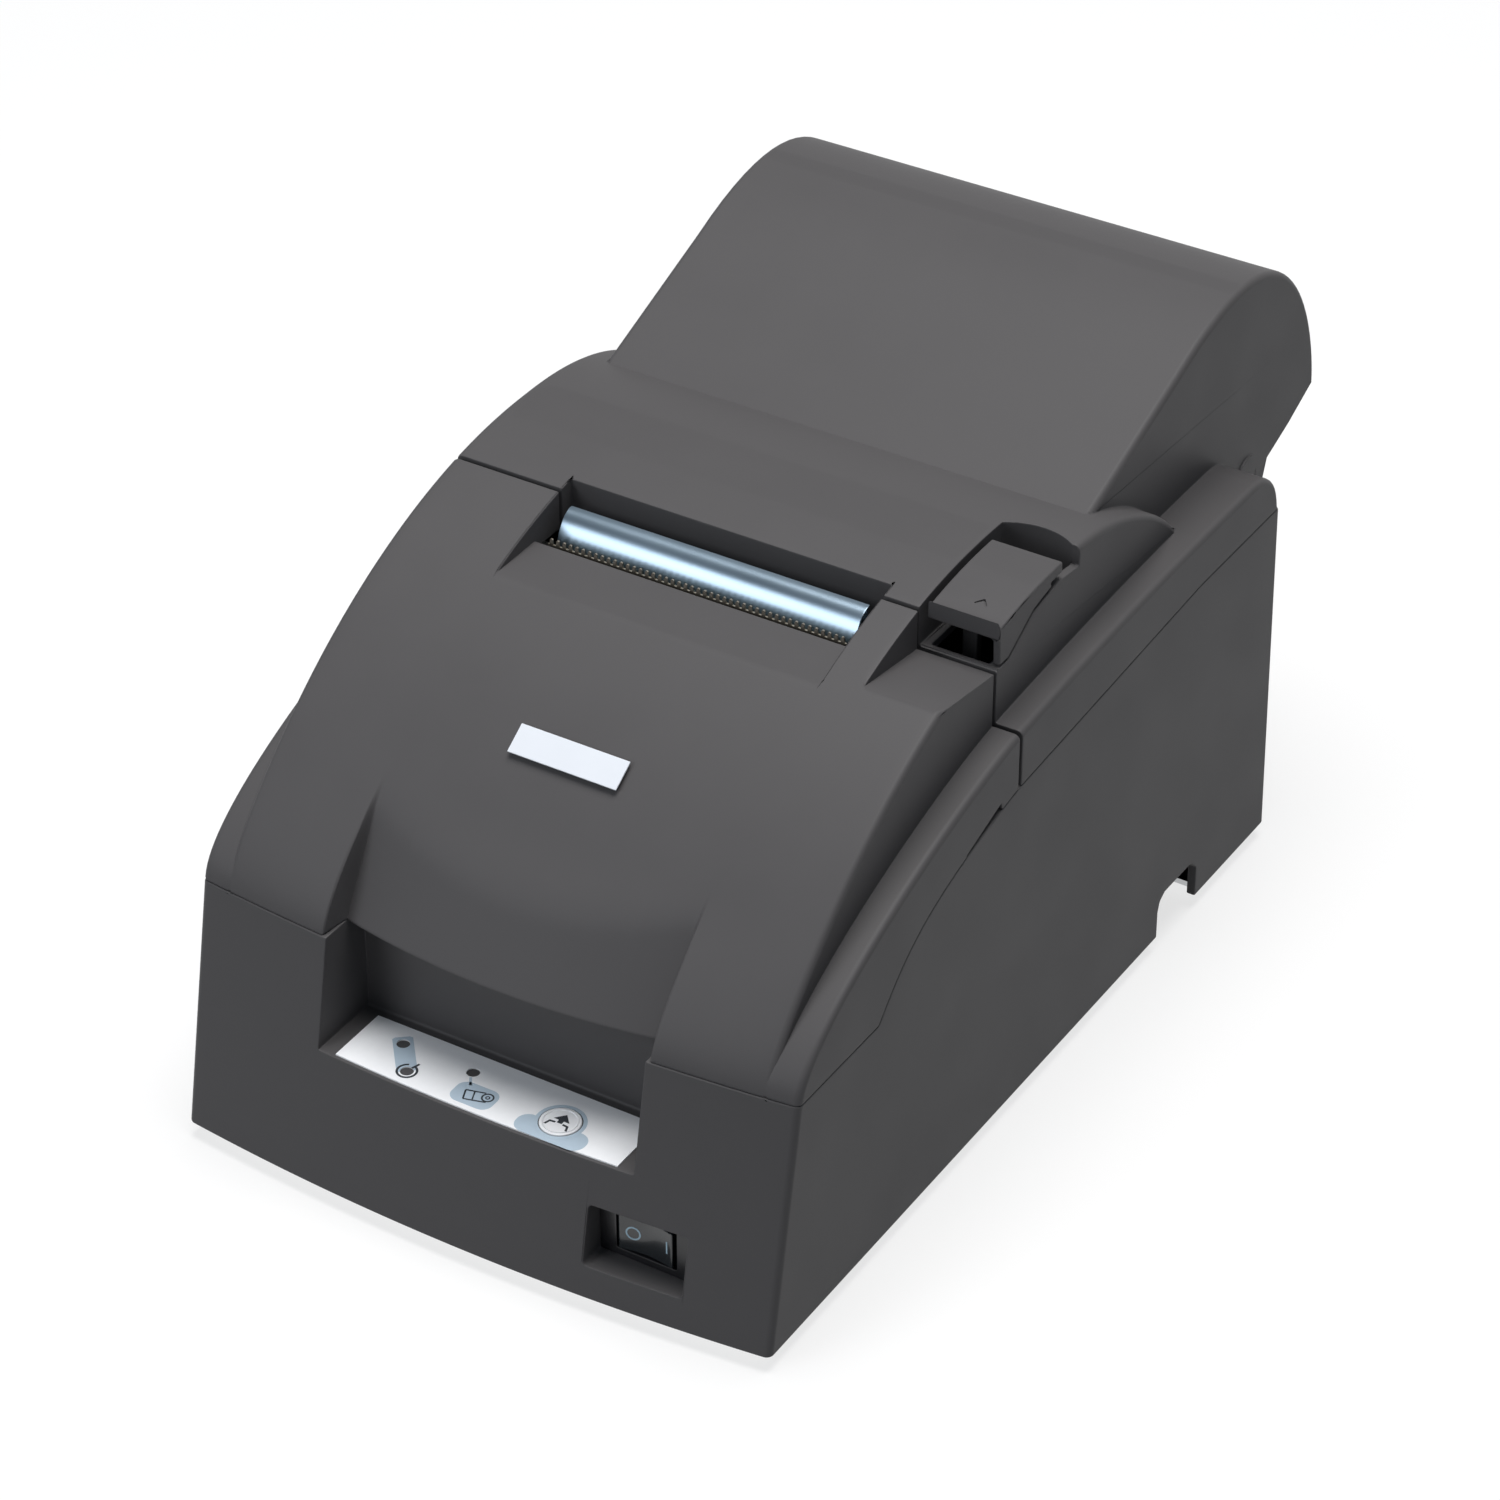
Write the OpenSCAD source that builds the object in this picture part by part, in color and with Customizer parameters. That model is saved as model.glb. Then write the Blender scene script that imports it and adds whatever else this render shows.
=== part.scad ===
/* [Case] */
// Width of the case over its side walls
case_w = 160; // [156:1:176]
// Depth of the case from its front corners to the foot of its rear wall
case_d = 240.5; // [240:0.5:246]
// Height of the case's front wall, where the ribbon cover's seam runs
front_h = 62.2; // [61:0.2:64]
// How far the front wall leans back over its height
front_lean = 11.75; // [10:0.25:13]
// How far the middle of the front bows out ahead of its corners
front_bow = 5; // [4:0.25:6]
// How far the rear wall leans in over its height
rear_lean = 3; // [2:0.5:4]
// Height of the seam at the rear wall
rear_h = 95.3; // [94:0.2:97]
// Wall of the case and of both covers
wall = 2.4; // [2:0.1:2.6]
// Gap along the seams between the casings
seam_gap = 1; // [0.6:0.1:1.2]
// Height of the rubber feet under the case
foot_h = 4; // [3:0.5:6]
// Radius of a rubber foot
foot_r = 9; // [7:0.5:10]

/* [Covers] */
// Width of the shoulder at each side of the covers' raised body
shoulder_w = 6.5; // [5.5:0.25:7.5]
// Height of the covers' flat top
body_h = 131.5; // [131:0.25:133]
// Where the covers meet, measured back from the front corners
split_y = 108; // [107:0.5:109]
// How far the hump over the take-up spool stands in from the case's sides
hump_in = 13.3; // [12:0.1:15]
// How far the hump's rear face stands out behind the foot of the rear wall
hump_out = 40.5; // [38:0.5:44]
// How far the hump's top rises above the covers' flat top
hump_rise = 40.5; // [38:0.5:44]
// Width of the recessed panel and of the pocket under it
pocket_w = 85.4; // [80:0.2:86]
// Width of the paper exit
exit_w = 86.4; // [86:0.2:90]
// How deep the trough in front of the paper exit lies under the covers' flat top
exit_drop = 10.5; // [9:0.5:11.5]

/* [Control pocket] */
// Floor height of the pocket
pocket_z = 34.6; // [33:0.2:37]
// Depth of the pocket from the front corners to its back wall
pocket_y = 23; // [22:0.5:25]
// Thickness of the white label
label_t = 0.3; // [0.2:0.1:0.5]
// Radius of the feed button
button_r = 4.9; // [4:0.1:5.5]
// Travel of the feed button
button_travel = 1.2; // [0.8:0.1:1.4]
// Clearance round the feed button
button_gap = 0.3; // [0.2:0.05:0.5]
// Radius of an indicator window
led_r = 1.5; // [1:0.1:2]

/* [Power switch] */
// Middle of the switch recess across the case
switch_x = 44.9; // [40:0.5:48]
// Middle of the switch recess above the case's lower edge
switch_z = 15.8; // [15:0.2:18]
// Width of the switch recess
switch_w = 25; // [22:0.5:28]
// Height of the switch recess
switch_h = 15.4; // [14:0.2:17]
// Depth of the switch recess
switch_depth = 5.5; // [4:0.5:6]
// Width of the rocker
rocker_w = 13.6; // [12:0.2:15]
// Height of the rocker
rocker_h = 9.4; // [8:0.2:10]

/* [Print mechanism] */
// How far the two side frames stand in from the case's sides
frame_in = 18; // [17:0.5:20]
// Thickness of the side frames
frame_t = 1.2; // [1:0.1:2]
// Height of the mechanism bed's top
bed_z = 40; // [38:0.5:41]
// Height of the print line
print_z = 82; // [80:0.5:84]
// Where the paper stands at the print line
paper_y = 102; // [101:0.25:103]
// Radius of the carriage's guide shaft
shaft_r = 3; // [2.5:0.1:3.5]
// Width of the carriage
carriage_w = 32; // [28:0.5:36]
// Running clearance of shafts and pins in their bores
running = 0.05; // [0.03:0.01:0.08]
// Pitch radius of the toothed belt's pulleys
pulley_r = 5; // [4.5:0.1:5.5]
// Radius of the rubber feed roller
feed_r = 6; // [5.5:0.1:6.5]
// Radius of the pinch roller
pinch_r = 4; // [3.5:0.1:4.5]
// Module of all gear teeth
tooth_m = 0.8; // [0.7:0.05:0.8]
// Teeth on the feed roller's gear
feed_teeth = 26; // [22:1:28]
// Teeth on the idler gear
idler_teeth = 30; // [28:1:32]
// Teeth on a motor's pinion
pinion_teeth = 12; // [12:1:14]
// Width of the gears' teeth
gear_w = 5; // [3:0.5:5]

/* [Paper] */
// Radius of the paper roll that the bucket holds
roll_r = 41.5; // [38:0.5:42]
// Width of the paper roll
paper_w = 76; // [70:1:76]
// Radius of the take-up spool's flanges
spool_r = 18; // [14:0.5:18]
// Teeth on the take-up spool's gear
spool_teeth = 54; // [50:1:56]

/* [Hidden] */
$fn = 72;

half_w = case_w / 2;
body_half = half_w - shoulder_w;
hump_half = half_w - hump_in;
pocket_half = pocket_w / 2;
exit_half = exit_w / 2;
frame_x = half_w - frame_in;
hump_y = case_d + hump_out;
mid_y = (hump_y - front_bow) / 2;
far = 400;
face_gap = 0.3;
fit_gap = 0.4;

function bezier(p, t) =
  pow(1 - t, 3) * p[0] + 3 * t * pow(1 - t, 2) * p[1] + 3 * t * t * (1 - t) * p[2] + pow(t, 3) * p[3];
function curve(p, steps = 12) = [for (i = [0:steps]) bezier(p, i / steps)];
function polar(r, a) = [r * cos(a), r * sin(a)];

// Radius of an arc whose middle stands a given rise ahead of its ends
function arc_radius(half, rise) = (half * half + rise * rise) / (2 * rise);
front_r = arc_radius(half_w, front_bow);
lean_a = atan(front_lean / front_h);
function front_y(x, z) = z * tan(lean_a) - front_bow + front_r - sqrt(front_r * front_r - x * x);
function rear_y(z) = case_d - rear_lean * z / rear_h;

// ---- placing helpers: the case's front corners stand at y = 0, its lower edge at z = 0 ----

module place() {
  translate([0, -mid_y, foot_h]) children();
}

module across(x0, x1) {
  translate([x0, 0, 0]) rotate([90, 0, 90]) linear_extrude(x1 - x0) children();
}

module block(x0, x1, y0, y1, z0, z1) {
  translate([x0, y0, z0]) cube([x1 - x0, y1 - y0, z1 - z0]);
}

module rod_x(x0, x1, y, z, r) {
  translate([x0, y, z]) rotate([0, 90, 0]) cylinder(r = r, h = x1 - x0);
}

module rod_y(y0, y1, x, z, r) {
  translate([x, y0, z]) rotate([-90, 0, 0]) cylinder(r = r, h = y1 - y0);
}

module rod_z(z0, z1, x, y, r) {
  translate([x, y, z0]) cylinder(r = r, h = z1 - z0);
}

module both_sides() {
  children();
  mirror([1, 0, 0]) children();
}

// A bowed wall: the solid behind a cylinder that passes y0 at z0 and leans back by lean
module bowed(r, y0, z0, lean, inset = 0) {
  translate([0, y0, z0]) rotate([-lean, 0, 0]) translate([0, r, -far])
    cylinder(r = r - inset, h = 2 * far, $fn = 240);
}

// ---- seams between the case and its covers ----

seam_front_z = front_h + 0.3;
seam_split_z = 89.5;
seam = concat([[11, seam_front_z]],
  curve([[46, seam_front_z], [57.7, 75.1], [65.9, 82.8], [split_y, seam_split_z]], 8),
  [[case_d - 44.5, rear_h]]);

function raise_line(line, dz) = [for (p = line) [p[0], p[1] + dz]];

module below_seam() {
  polygon(concat([[-far, 0], [-far, seam_front_z - seam_gap / 2]], raise_line(seam, -seam_gap / 2),
    [[far, rear_h - seam_gap / 2], [far, 0]]));
}

// The covers end at the seam, and behind the case at the lower edge of the hump's side walls
module above_seam() {
  polygon(concat([[-far, far], [-far, seam_front_z + seam_gap / 2]], raise_line(seam, seam_gap / 2),
    hump_edge, [[far, far]]));
}

// ---- outer form of the two covers, drawn inward by inset for the inside ----

pillar_y = front_lean - front_bow * (1 - pow(pocket_half / half_w, 2));
fender_h = body_h - 22.5;
fender_end = case_d - 4;
fender_line = concat(
  curve([[front_lean, front_h], [11, 88.4], [83.2, fender_h - 6.6], [108, fender_h - 4.2]], 10),
  curve([[108, fender_h - 4.2], [146.8, fender_h - 0.9], [fender_end - 51.5, fender_h + 0.5],
    [fender_end - 14.5, fender_h]], 6),
  curve([[fender_end - 14.5, fender_h], [fender_end - 5, fender_h], [fender_end - 1, fender_h - 5],
    [fender_end, rear_h + 1.7]], 5));
body_end = case_d - 42.5;
body_line = concat(
  curve([[pillar_y, front_h], [pillar_y + 2.3, 75.4], [62.3, body_h], [134.5, body_h]], 14),
  curve([[136, body_h], [147, body_h], [body_end - 20.6, body_h], [body_end, fender_h - 2]], 8));
hump_foot = [case_d - 77.5, body_h - 2.7];
hump_knee = [case_d - 35.5, body_h + 13.1];
hump_line = concat([hump_foot],
  curve([hump_knee, [hump_y - 13.1, body_h + hump_rise], [hump_y, body_h - 12.6], [hump_y, rear_h + 8.7]], 14));

rear_hinge = [case_d + 4.5, rear_h + 0.7];
ear_r = 5.5;
hump_edge = [[fender_end + 2, rear_h + seam_gap / 2], [case_d + 10.2, rear_h - 2.4],
  [case_d + 27.5, rear_h + 4.1], [hump_y + 1, rear_h + 9.6]];

module body_side(inset) {
  offset(delta = -inset)
    polygon(concat([[pillar_y, -far]], body_line, [[body_end, -far]]));
}

module fender_side(inset) {
  offset(delta = -inset)
    polygon(concat([[front_lean - front_bow, -far]], fender_line, [[fender_end, -far]]));
}

module hump_side(inset) {
  offset(delta = -inset)
    polygon(concat(hump_line, [[hump_y, -far], [hump_foot[0], -far]]));
}

panel_r = 200;
panel_front = 11.4;
panel_lean = 29.4;

module panel_recess(inset) {
  difference() {
    block(-pocket_half - inset, pocket_half + inset, -front_bow - 20, 42, front_h - 20, 110);
    bowed(panel_r, panel_front, front_h, panel_lean, inset);
  }
}

trough_y = 80.2;
exit_z = body_h - exit_drop;
exit_y = 97;
exit_back = 112.4;

module exit_trough(inset) {
  block(-exit_half - inset, exit_half + inset, trough_y - 6, exit_back + inset, exit_z - inset, far);
}

ramp_x = body_half - 20.7;
ramp_crest = [83.2, body_h - 9.4];
ramp_end = [split_y, body_h - 12.9];

module ramp_cut(inset) {
  across(ramp_x - inset, half_w)
    polygon([[70, ramp_crest[1] + 1.9 - inset], ramp_crest - [0, inset],
      ramp_end - [0, inset], [split_y + 1, ramp_end[1] - inset], [split_y + 1, far], [70, far]]);
}

recess_x0 = body_half - 20.9;
recess_back = 149;
recess_z = body_h - 12.7;
recess_lip = [[114.5, recess_z], [125.6, body_h - 6.3], [138.2, body_h - 4.4], [recess_back, body_h - 5.4]];

module lever_recess(inset) {
  block(recess_x0 - inset, body_half - wall, split_y - 1, recess_back + inset, recess_z - inset, far);
  if (inset == 0)
    across(body_half - wall - 1, half_w)
      polygon(concat([[split_y - 1, recess_z]], recess_lip, [[recess_back, far], [split_y - 1, far]]));
}

module cover_form(inset) {
  difference() {
    intersection() {
      union() {
        across(-body_half + inset, body_half - inset) body_side(inset);
        across(-half_w + inset, half_w - inset) fender_side(inset);
        across(-hump_half + inset, hump_half - inset) hump_side(inset);
      }
      bowed(front_r, -front_bow, 0, lean_a, inset);
    }
    panel_recess(inset);
    exit_trough(inset);
    ramp_cut(inset);
    lever_recess(inset);
  }
}

// ---- covers ----

front_hinge = [13.2, 40];
hinge_pin_r = 1.5;
goose_x = half_w - 5;
goose_t = 2;
goose_in = 23.8;
goose_out = 28;

// Curved arm that carries the cover over the top of the case's front wall
module goose_arm() {
  translate(front_hinge) {
    difference() {
      intersection() {
        circle(r = goose_out);
        polygon([[0, -4], [2 * goose_out, -4], [2 * goose_out, 2 * goose_out], [2, 2 * goose_out], [2, 4]]);
      }
      circle(r = goose_in);
    }
    translate([0, -2.2]) square([goose_in + 1, 4.4]);
    circle(r = 2.6);
  }
}

module front_cover() place() color("#5f5d5c") difference() {
  union() {
    intersection() {
      difference() {
        cover_form(0);
        cover_form(wall);
      }
      across(-far, far) intersection() {
        above_seam();
        translate([-far, -far]) square([far + split_y - seam_gap / 2, 2 * far]);
      }
    }
    both_sides() {
      across(goose_x - goose_t / 2, goose_x + goose_t / 2) goose_arm();
      across(goose_x - goose_t / 2, half_w - wall + 0.2) intersection() {
        goose_arm();
        translate([0, seam_front_z + seam_gap]) square(far);
      }
    }
  }
  block(-exit_half, exit_half, exit_y, exit_back, 100, far);
  both_sides() rod_x(goose_x - goose_t, goose_x + goose_t, front_hinge[0], front_hinge[1],
    hinge_pin_r + running);
}

badge_w = 29;
badge_l = 7.4;
badge_x = -2.1;
badge_y = [45.1, 50.9];
badge_foot = [badge_y[0], lookup(badge_y[0], body_line)];
badge_a = atan2(lookup(badge_y[1], body_line) - badge_foot[1], badge_y[1] - badge_y[0]);
badge_t = 0.5;

module badge_plate() place() color("white")
  translate([badge_x, badge_foot[0], badge_foot[1]]) rotate([badge_a, 0, 0])
    translate([-badge_w / 2, 0, 0.25]) cube([badge_w, badge_l, badge_t]);

module front_hinge_pins() place() color("silver") both_sides()
  rod_x(goose_x - goose_t / 2 - 0.8, half_w - wall + 1, front_hinge[0], front_hinge[1], hinge_pin_r);

rear_pin_r = 2.5;
lever_pivot = [136, body_h - 7.2];
lever_pin_r = 1.25;
latch_y = 120;
slot_x0 = recess_x0 + 4.4;
slot_x1 = slot_x0 + 6;

module rear_cover() place() color("#5f5d5c") difference() {
  union() {
    intersection() {
      difference() {
        cover_form(0);
        cover_form(wall);
      }
      across(-far, far) intersection() {
        union() {
          above_seam();
          translate(rear_hinge) circle(r = ear_r);
        }
        translate([split_y + seam_gap / 2, 0]) square([far, far]);
      }
    }
    both_sides() rod_x(hump_half - wall, hump_half, rear_hinge[0], rear_hinge[1], ear_r);
  }
  both_sides() rod_x(hump_half - wall - 1, hump_half + 1, rear_hinge[0], rear_hinge[1],
    rear_pin_r + running);
  block(-exit_half, exit_half, exit_y, exit_back, 100, far);
  block(slot_x0, slot_x1, latch_y - 4, latch_y + 3, recess_z - wall - 1, recess_z + 1);
  rod_x(recess_x0 - wall - 1, body_half - 1, lever_pivot[0], lever_pivot[1], lever_pin_r + running);
}

module rear_hinge_pins() place() color("silver") both_sides() {
  rod_x(housing_half - wall, hump_half - 0.2, rear_hinge[0], rear_hinge[1], rear_pin_r);
  rod_x(housing_half - wall - 0.5, housing_half - wall, rear_hinge[0], rear_hinge[1], rear_pin_r + 1);
}

// ---- release lever ----

lever_x0 = recess_x0 + 1.6;
lever_x1 = body_half - 0.1;
knuckle_w = 2.5;
knuckle_x = lever_x0 + 11.8;
lever_front = 109.2;
lever_back = 138.6;
lever_t = 3;
lever_lip = 5;

module under_body_line(drop) {
  intersection() {
    translate([0, -drop]) polygon(concat([[pillar_y, -far]], body_line, [[body_end, -far]]));
    translate([lever_front, 0]) square([lever_back - lever_front, far]);
  }
}

module lever_plate() {
  difference() {
    under_body_line(0);
    under_body_line(lever_t);
  }
  intersection() {
    difference() {
      under_body_line(0);
      under_body_line(lever_lip);
    }
    translate([lever_front, 0]) square([wall, far]);
  }
}

module lever_skirt() {
  intersection() {
    under_body_line(0);
    polygon(concat([[lever_front, far], [lever_front + 0.6, recess_z + fit_gap],
      recess_lip[0] + [-0.2, fit_gap], recess_lip[1] + [-0.2, fit_gap]],
      [[134, recess_lip[2][1] + fit_gap], [134, far]]));
  }
}

module release_lever() place() color("#5f5d5c") difference() {
  union() {
    across(lever_x0, lever_x1) lever_plate();
    across(body_half - wall + fit_gap, lever_x1) lever_skirt();
    for (x = [lever_x0, knuckle_x]) across(x, x + knuckle_w) {
      translate(lever_pivot) circle(r = 2.6);
      translate(lever_pivot - [2.6, 0]) square([5.2, 5.5]);
    }
    block(slot_x0 + 1, slot_x1 - 1, latch_y - 1.2, latch_y + 1.2, latch_z - 2, body_h - lever_t);
  }
  rod_x(lever_x0 - 1, knuckle_x + 4, lever_pivot[0], lever_pivot[1], lever_pin_r + running);
}

module lever_pin() place() color("silver")
  rod_x(recess_x0 - wall - 0.5, body_half - 1.1, lever_pivot[0], lever_pivot[1], lever_pin_r);

module lever_spring() place() color("silver") difference() {
  rod_x(knuckle_x - 7.5, knuckle_x - 1, lever_pivot[0], lever_pivot[1], 2.4);
  rod_x(knuckle_x - 8, knuckle_x, lever_pivot[0], lever_pivot[1], lever_pin_r);
}

latch_z = recess_z - 12.8;
latch_r = 1.5;

module latch_pin() place() color("silver")
  rod_x(slot_x0, frame_x + frame_t, latch_y + 3.7, latch_z, latch_r);

// ---- lower case ----

notch_y = case_d - 48;
notch_w = 20;
notch_h = 11.8;
panel_x0 = -58;
panel_x1 = 14;
panel_z0 = 8;
panel_z1 = 36;
housing_half = hump_half - 5.2;
screw_y0 = 34;
screw_y1 = case_d - 11.5;
screw_x = half_w - 10;
screw_r = 1.5;
base_t = 1.5;

module case_side(inset) {
  polygon([[-far, -far], [-far, far], [rear_y(far) - inset, far], [rear_y(-far) - inset, -far]]);
}

module case_form(inset) {
  intersection() {
    across(-half_w + inset, half_w - inset) case_side(inset);
    bowed(front_r, -front_bow, 0, lean_a, inset);
  }
}

switch_y = front_y(switch_x, switch_z) + switch_depth;
button_at = [19, 9.8];
leds_at = [[-27.2, 14.7], [-20.8, 6.9], [-7.7, 14.4]];
post_at = [33, 17];
board_z = 26;
board_t = 1.2;

module lower_case() place() color("#5f5d5c") difference() {
  intersection() {
    union() {
      difference() {
        case_form(0);
        case_form(wall);
      }
      intersection() {
        case_form(0);
        union() {
          block(-pocket_half - wall, pocket_half + wall, -far, pocket_y + wall, pocket_z - wall, far);
          block(switch_x - switch_w / 2 - wall, switch_x + switch_w / 2 + wall, -far, switch_y + wall,
            switch_z - switch_h / 2 - wall, switch_z + switch_h / 2 + wall);
          block(screw_x - 14, far, notch_y - notch_w / 2 - wall, notch_y + notch_w / 2 + wall,
            0, notch_h + wall);
          both_sides() rod_z(board_z + board_t, pocket_z - 1, post_at[0], post_at[1], 2.5);
          both_sides() for (y = [screw_y0, screw_y1]) {
            rod_z(base_t, 14, screw_x, y, 4);
            block(screw_x, half_w - 1, y - 1, y + 1, base_t, 14);
          }
          both_sides() rod_x(goose_x + goose_t / 2 + face_gap, half_w - 1, front_hinge[0], front_hinge[1], 3.4);
        }
      }
    }
    across(-far, far) below_seam();
  }
  block(-pocket_half, pocket_half, -far, pocket_y, pocket_z, far);
  block(switch_x - switch_w / 2, switch_x + switch_w / 2, -far, switch_y,
    switch_z - switch_h / 2, switch_z + switch_h / 2);
  block(switch_x - rocker_w / 2 - 1.5, switch_x + rocker_w / 2 + 1.5, switch_y - 1, switch_y + far / 4,
    switch_z - rocker_h / 2 - 1.5, switch_z + rocker_h / 2 + 1.5);
  block(screw_x - 14 + wall, far, notch_y - notch_w / 2, notch_y + notch_w / 2, -1, notch_h);
  rod_z(pocket_z - wall - 1, pocket_z + 1, button_at[0], button_at[1], button_r + button_gap);
  for (p = leds_at) rod_z(pocket_z - wall - 1, pocket_z + 1, p[0], p[1], led_r + 0.1);
  block(panel_x0, panel_x1, case_d - 12, case_d + 5, panel_z0, panel_z1);
  both_sides() for (y = [screw_y0, screw_y1]) rod_z(-1, 10, screw_x, y, screw_r);
  both_sides() rod_x(half_w - 6, half_w - wall + 1, front_hinge[0], front_hinge[1], hinge_pin_r);
}

module base_plate() place() color("#8c8c8a") difference() {
  intersection() {
    case_form(wall + face_gap);
    block(-far, far, -far, far, 0, base_t);
  }
  block(screw_x - 14 - face_gap, far, notch_y - notch_w / 2 - wall - face_gap,
    notch_y + notch_w / 2 + wall + face_gap, -1, base_t + 1);
  both_sides() for (y = [screw_y0, screw_y1]) rod_z(-1, base_t + 1, screw_x, y, screw_r + 0.2);
}

foot_x = half_w - 22;
foot_y0 = 28;
foot_back = 24;

module rubber_feet() place() color("#2b2b2b") both_sides()
  for (y = [foot_y0, case_d - foot_back]) rod_z(-foot_h, 0, foot_x, y, foot_r);

module case_screws() place() color("silver") both_sides() for (y = [screw_y0, screw_y1]) {
  rod_z(-1.6, 0, screw_x, y, 2.8);
  rod_z(0, 10, screw_x, y, screw_r);
}

// ---- control panel ----

label_half = pocket_half - 4.5;
label_y1 = pocket_y - 2.6;

module control_label() place() color("white") difference() {
  intersection() {
    bowed(front_r, -front_bow, 0, lean_a, 0.8);
    block(-label_half, label_half, -far, label_y1, pocket_z, pocket_z + label_t);
  }
  rod_z(pocket_z - 1, pocket_z + 1, button_at[0], button_at[1], button_r + button_gap);
  for (p = leds_at) rod_z(pocket_z - 1, pocket_z + 1, p[0], p[1], led_r + 0.1);
}

module status_leds() place() color("#6f7a86") for (p = leds_at)
  rod_z(board_z + board_t, pocket_z + label_t, p[0], p[1], led_r);

module panel_board() place() color("#2f6b45") difference() {
  block(-36, 36, 5.5, pocket_y - 2, board_z, board_z + board_t);
  both_sides() rod_z(board_z - 1, board_z + board_t + 1, post_at[0], post_at[1], 1);
}

dome_h = 2.1;

module feed_button() place() color("#a9b4c0") {
  rod_z(board_z + board_t + dome_h + button_travel + face_gap, pocket_z + label_t + 0.3,
    button_at[0], button_at[1], button_r);
  rod_z(board_z + board_t + dome_h + button_travel + face_gap, pocket_z - wall - face_gap,
    button_at[0], button_at[1], button_r + 1.2);
}

module button_dome() place() color("#3a3a3a")
  rod_z(board_z + board_t, board_z + board_t + dome_h, button_at[0], button_at[1], 3);

// ---- power switch ----

rocker_depth = 5.6;
rocker_play = 1;
rocker_y = switch_y + rocker_depth - 0.6;

module switch_body() place() color("#1c1c1e") difference() {
  block(switch_x - rocker_w / 2 - 1.4, switch_x + rocker_w / 2 + 1.4, switch_y + 0.6, switch_y + 22,
    switch_z - rocker_h / 2 - 1.4, switch_z + rocker_h / 2 + 1.4);
  block(switch_x - rocker_w / 2 - rocker_play, switch_x + rocker_w / 2 + rocker_play, switch_y - 1,
    rocker_y + 2.6, switch_z - rocker_h / 2 - 0.3, switch_z + rocker_h / 2 + 0.3);
  rod_z(switch_z - rocker_h / 2 - 1.2, switch_z + rocker_h / 2 + 1.2, switch_x, rocker_y, 1 + running);
}

module power_rocker() place() color("#101012") translate([switch_x, rocker_y, switch_z]) {
  linear_extrude(rocker_h, center = true)
    polygon([[-rocker_w / 2, -rocker_depth], [0, -rocker_depth + 1], [rocker_w / 2, -rocker_depth],
      [rocker_w / 2 - 0.6, 0], [3, 1.2], [-3, 1.2], [-rocker_w / 2 + 0.6, 0]]);
  cylinder(r = 1, h = rocker_h + 2, center = true);
}

// ---- rear housing and take-up ----

housing_y = case_d - 1;
housing_z = 42;
housing_line = [[housing_y, housing_z], [case_d + 5.5, 47], [case_d + 10.5, 60], [case_d + 20.4, rear_h - 10.7],
  [case_d + 25.1, rear_h + 0.9], [case_d + 28.5, rear_h + 6.2], [case_d + 34.1, rear_h + 8.2]];
housing_top = rear_h + 8.2;

module housing_side() {
  difference() {
    polygon(concat(housing_line, [[housing_y, housing_top]]));
    offset(delta = -wall) polygon(concat(housing_line, [[case_d + 34.1, far], [case_d - 10, far],
      [case_d - 10, housing_z]]));
  }
}

module rear_housing() place() color("#4f4e4d") difference() {
  intersection() {
    union() {
      across(-housing_half, housing_half) housing_side();
      both_sides() across(housing_half - wall, housing_half)
        polygon(concat(housing_line, [[housing_y, housing_top]]));
    }
    translate([-far, 0, 0]) multmatrix([[1, 0, 0, 0], [0, 1, -rear_lean / rear_h, case_d + 0.02],
      [0, 0, 1, 0]]) cube([2 * far, 60, 200]);
  }
  both_sides() rod_x(housing_half - wall - 1, housing_half + 1, rear_hinge[0], rear_hinge[1], rear_pin_r);
}

spool_at = [case_d + 2.5, rear_h + 0.348 * (body_h + hump_rise - rear_h)];
bracket_x = housing_half - 8.5;
flange_t = 2;
flange_gap = 5;
drum_half = bracket_x - flange_gap - flange_t;
bracket_t = 2;
spool_pitch_r = tooth_m * spool_teeth / 2;
pinion_r = tooth_m * pinion_teeth / 2;
mesh_slack = 0.15;
spool_motor_a = -65;
spool_motor_at = spool_at + polar(spool_pitch_r + pinion_r + mesh_slack, spool_motor_a);
spool_pin_r = 3;

module takeup_brackets() place() color("#9a9a98") both_sides() difference() {
  union() {
    across(bracket_x, bracket_x + bracket_t) difference() {
      translate(spool_at) polygon([[-2, -46], [9.5, -46], [14.5, -32], [18, -18], [9, -4], [6, 6],
        [-6, 6], [-4.5, -18], [-2, -26]]);
      translate(spool_at) circle(r = spool_pin_r + running);
      translate(spool_motor_at) circle(r = 2);
    }
    across(bracket_x + bracket_t, housing_half - wall) for (p = [[1, -42], [8, -41]])
      translate(spool_at + p) circle(r = 2.5);
  }
}

module takeup_spool() place() color("#3d3d3d") {
  rod_x(-bracket_x - bracket_t - 1, bracket_x + bracket_t + 4, spool_at[0], spool_at[1], spool_pin_r);
  rod_x(-drum_half, drum_half, spool_at[0], spool_at[1], 8);
  for (x = [-drum_half - flange_t, drum_half]) rod_x(x, x + flange_t, spool_at[0], spool_at[1], spool_r);
}

// Half angle that an involute flank turns through between its base circle and radius r
function flank_a(base, r) = sqrt(pow(r / base, 2) - 1) * 180 / PI - acos(base / r);

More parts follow.
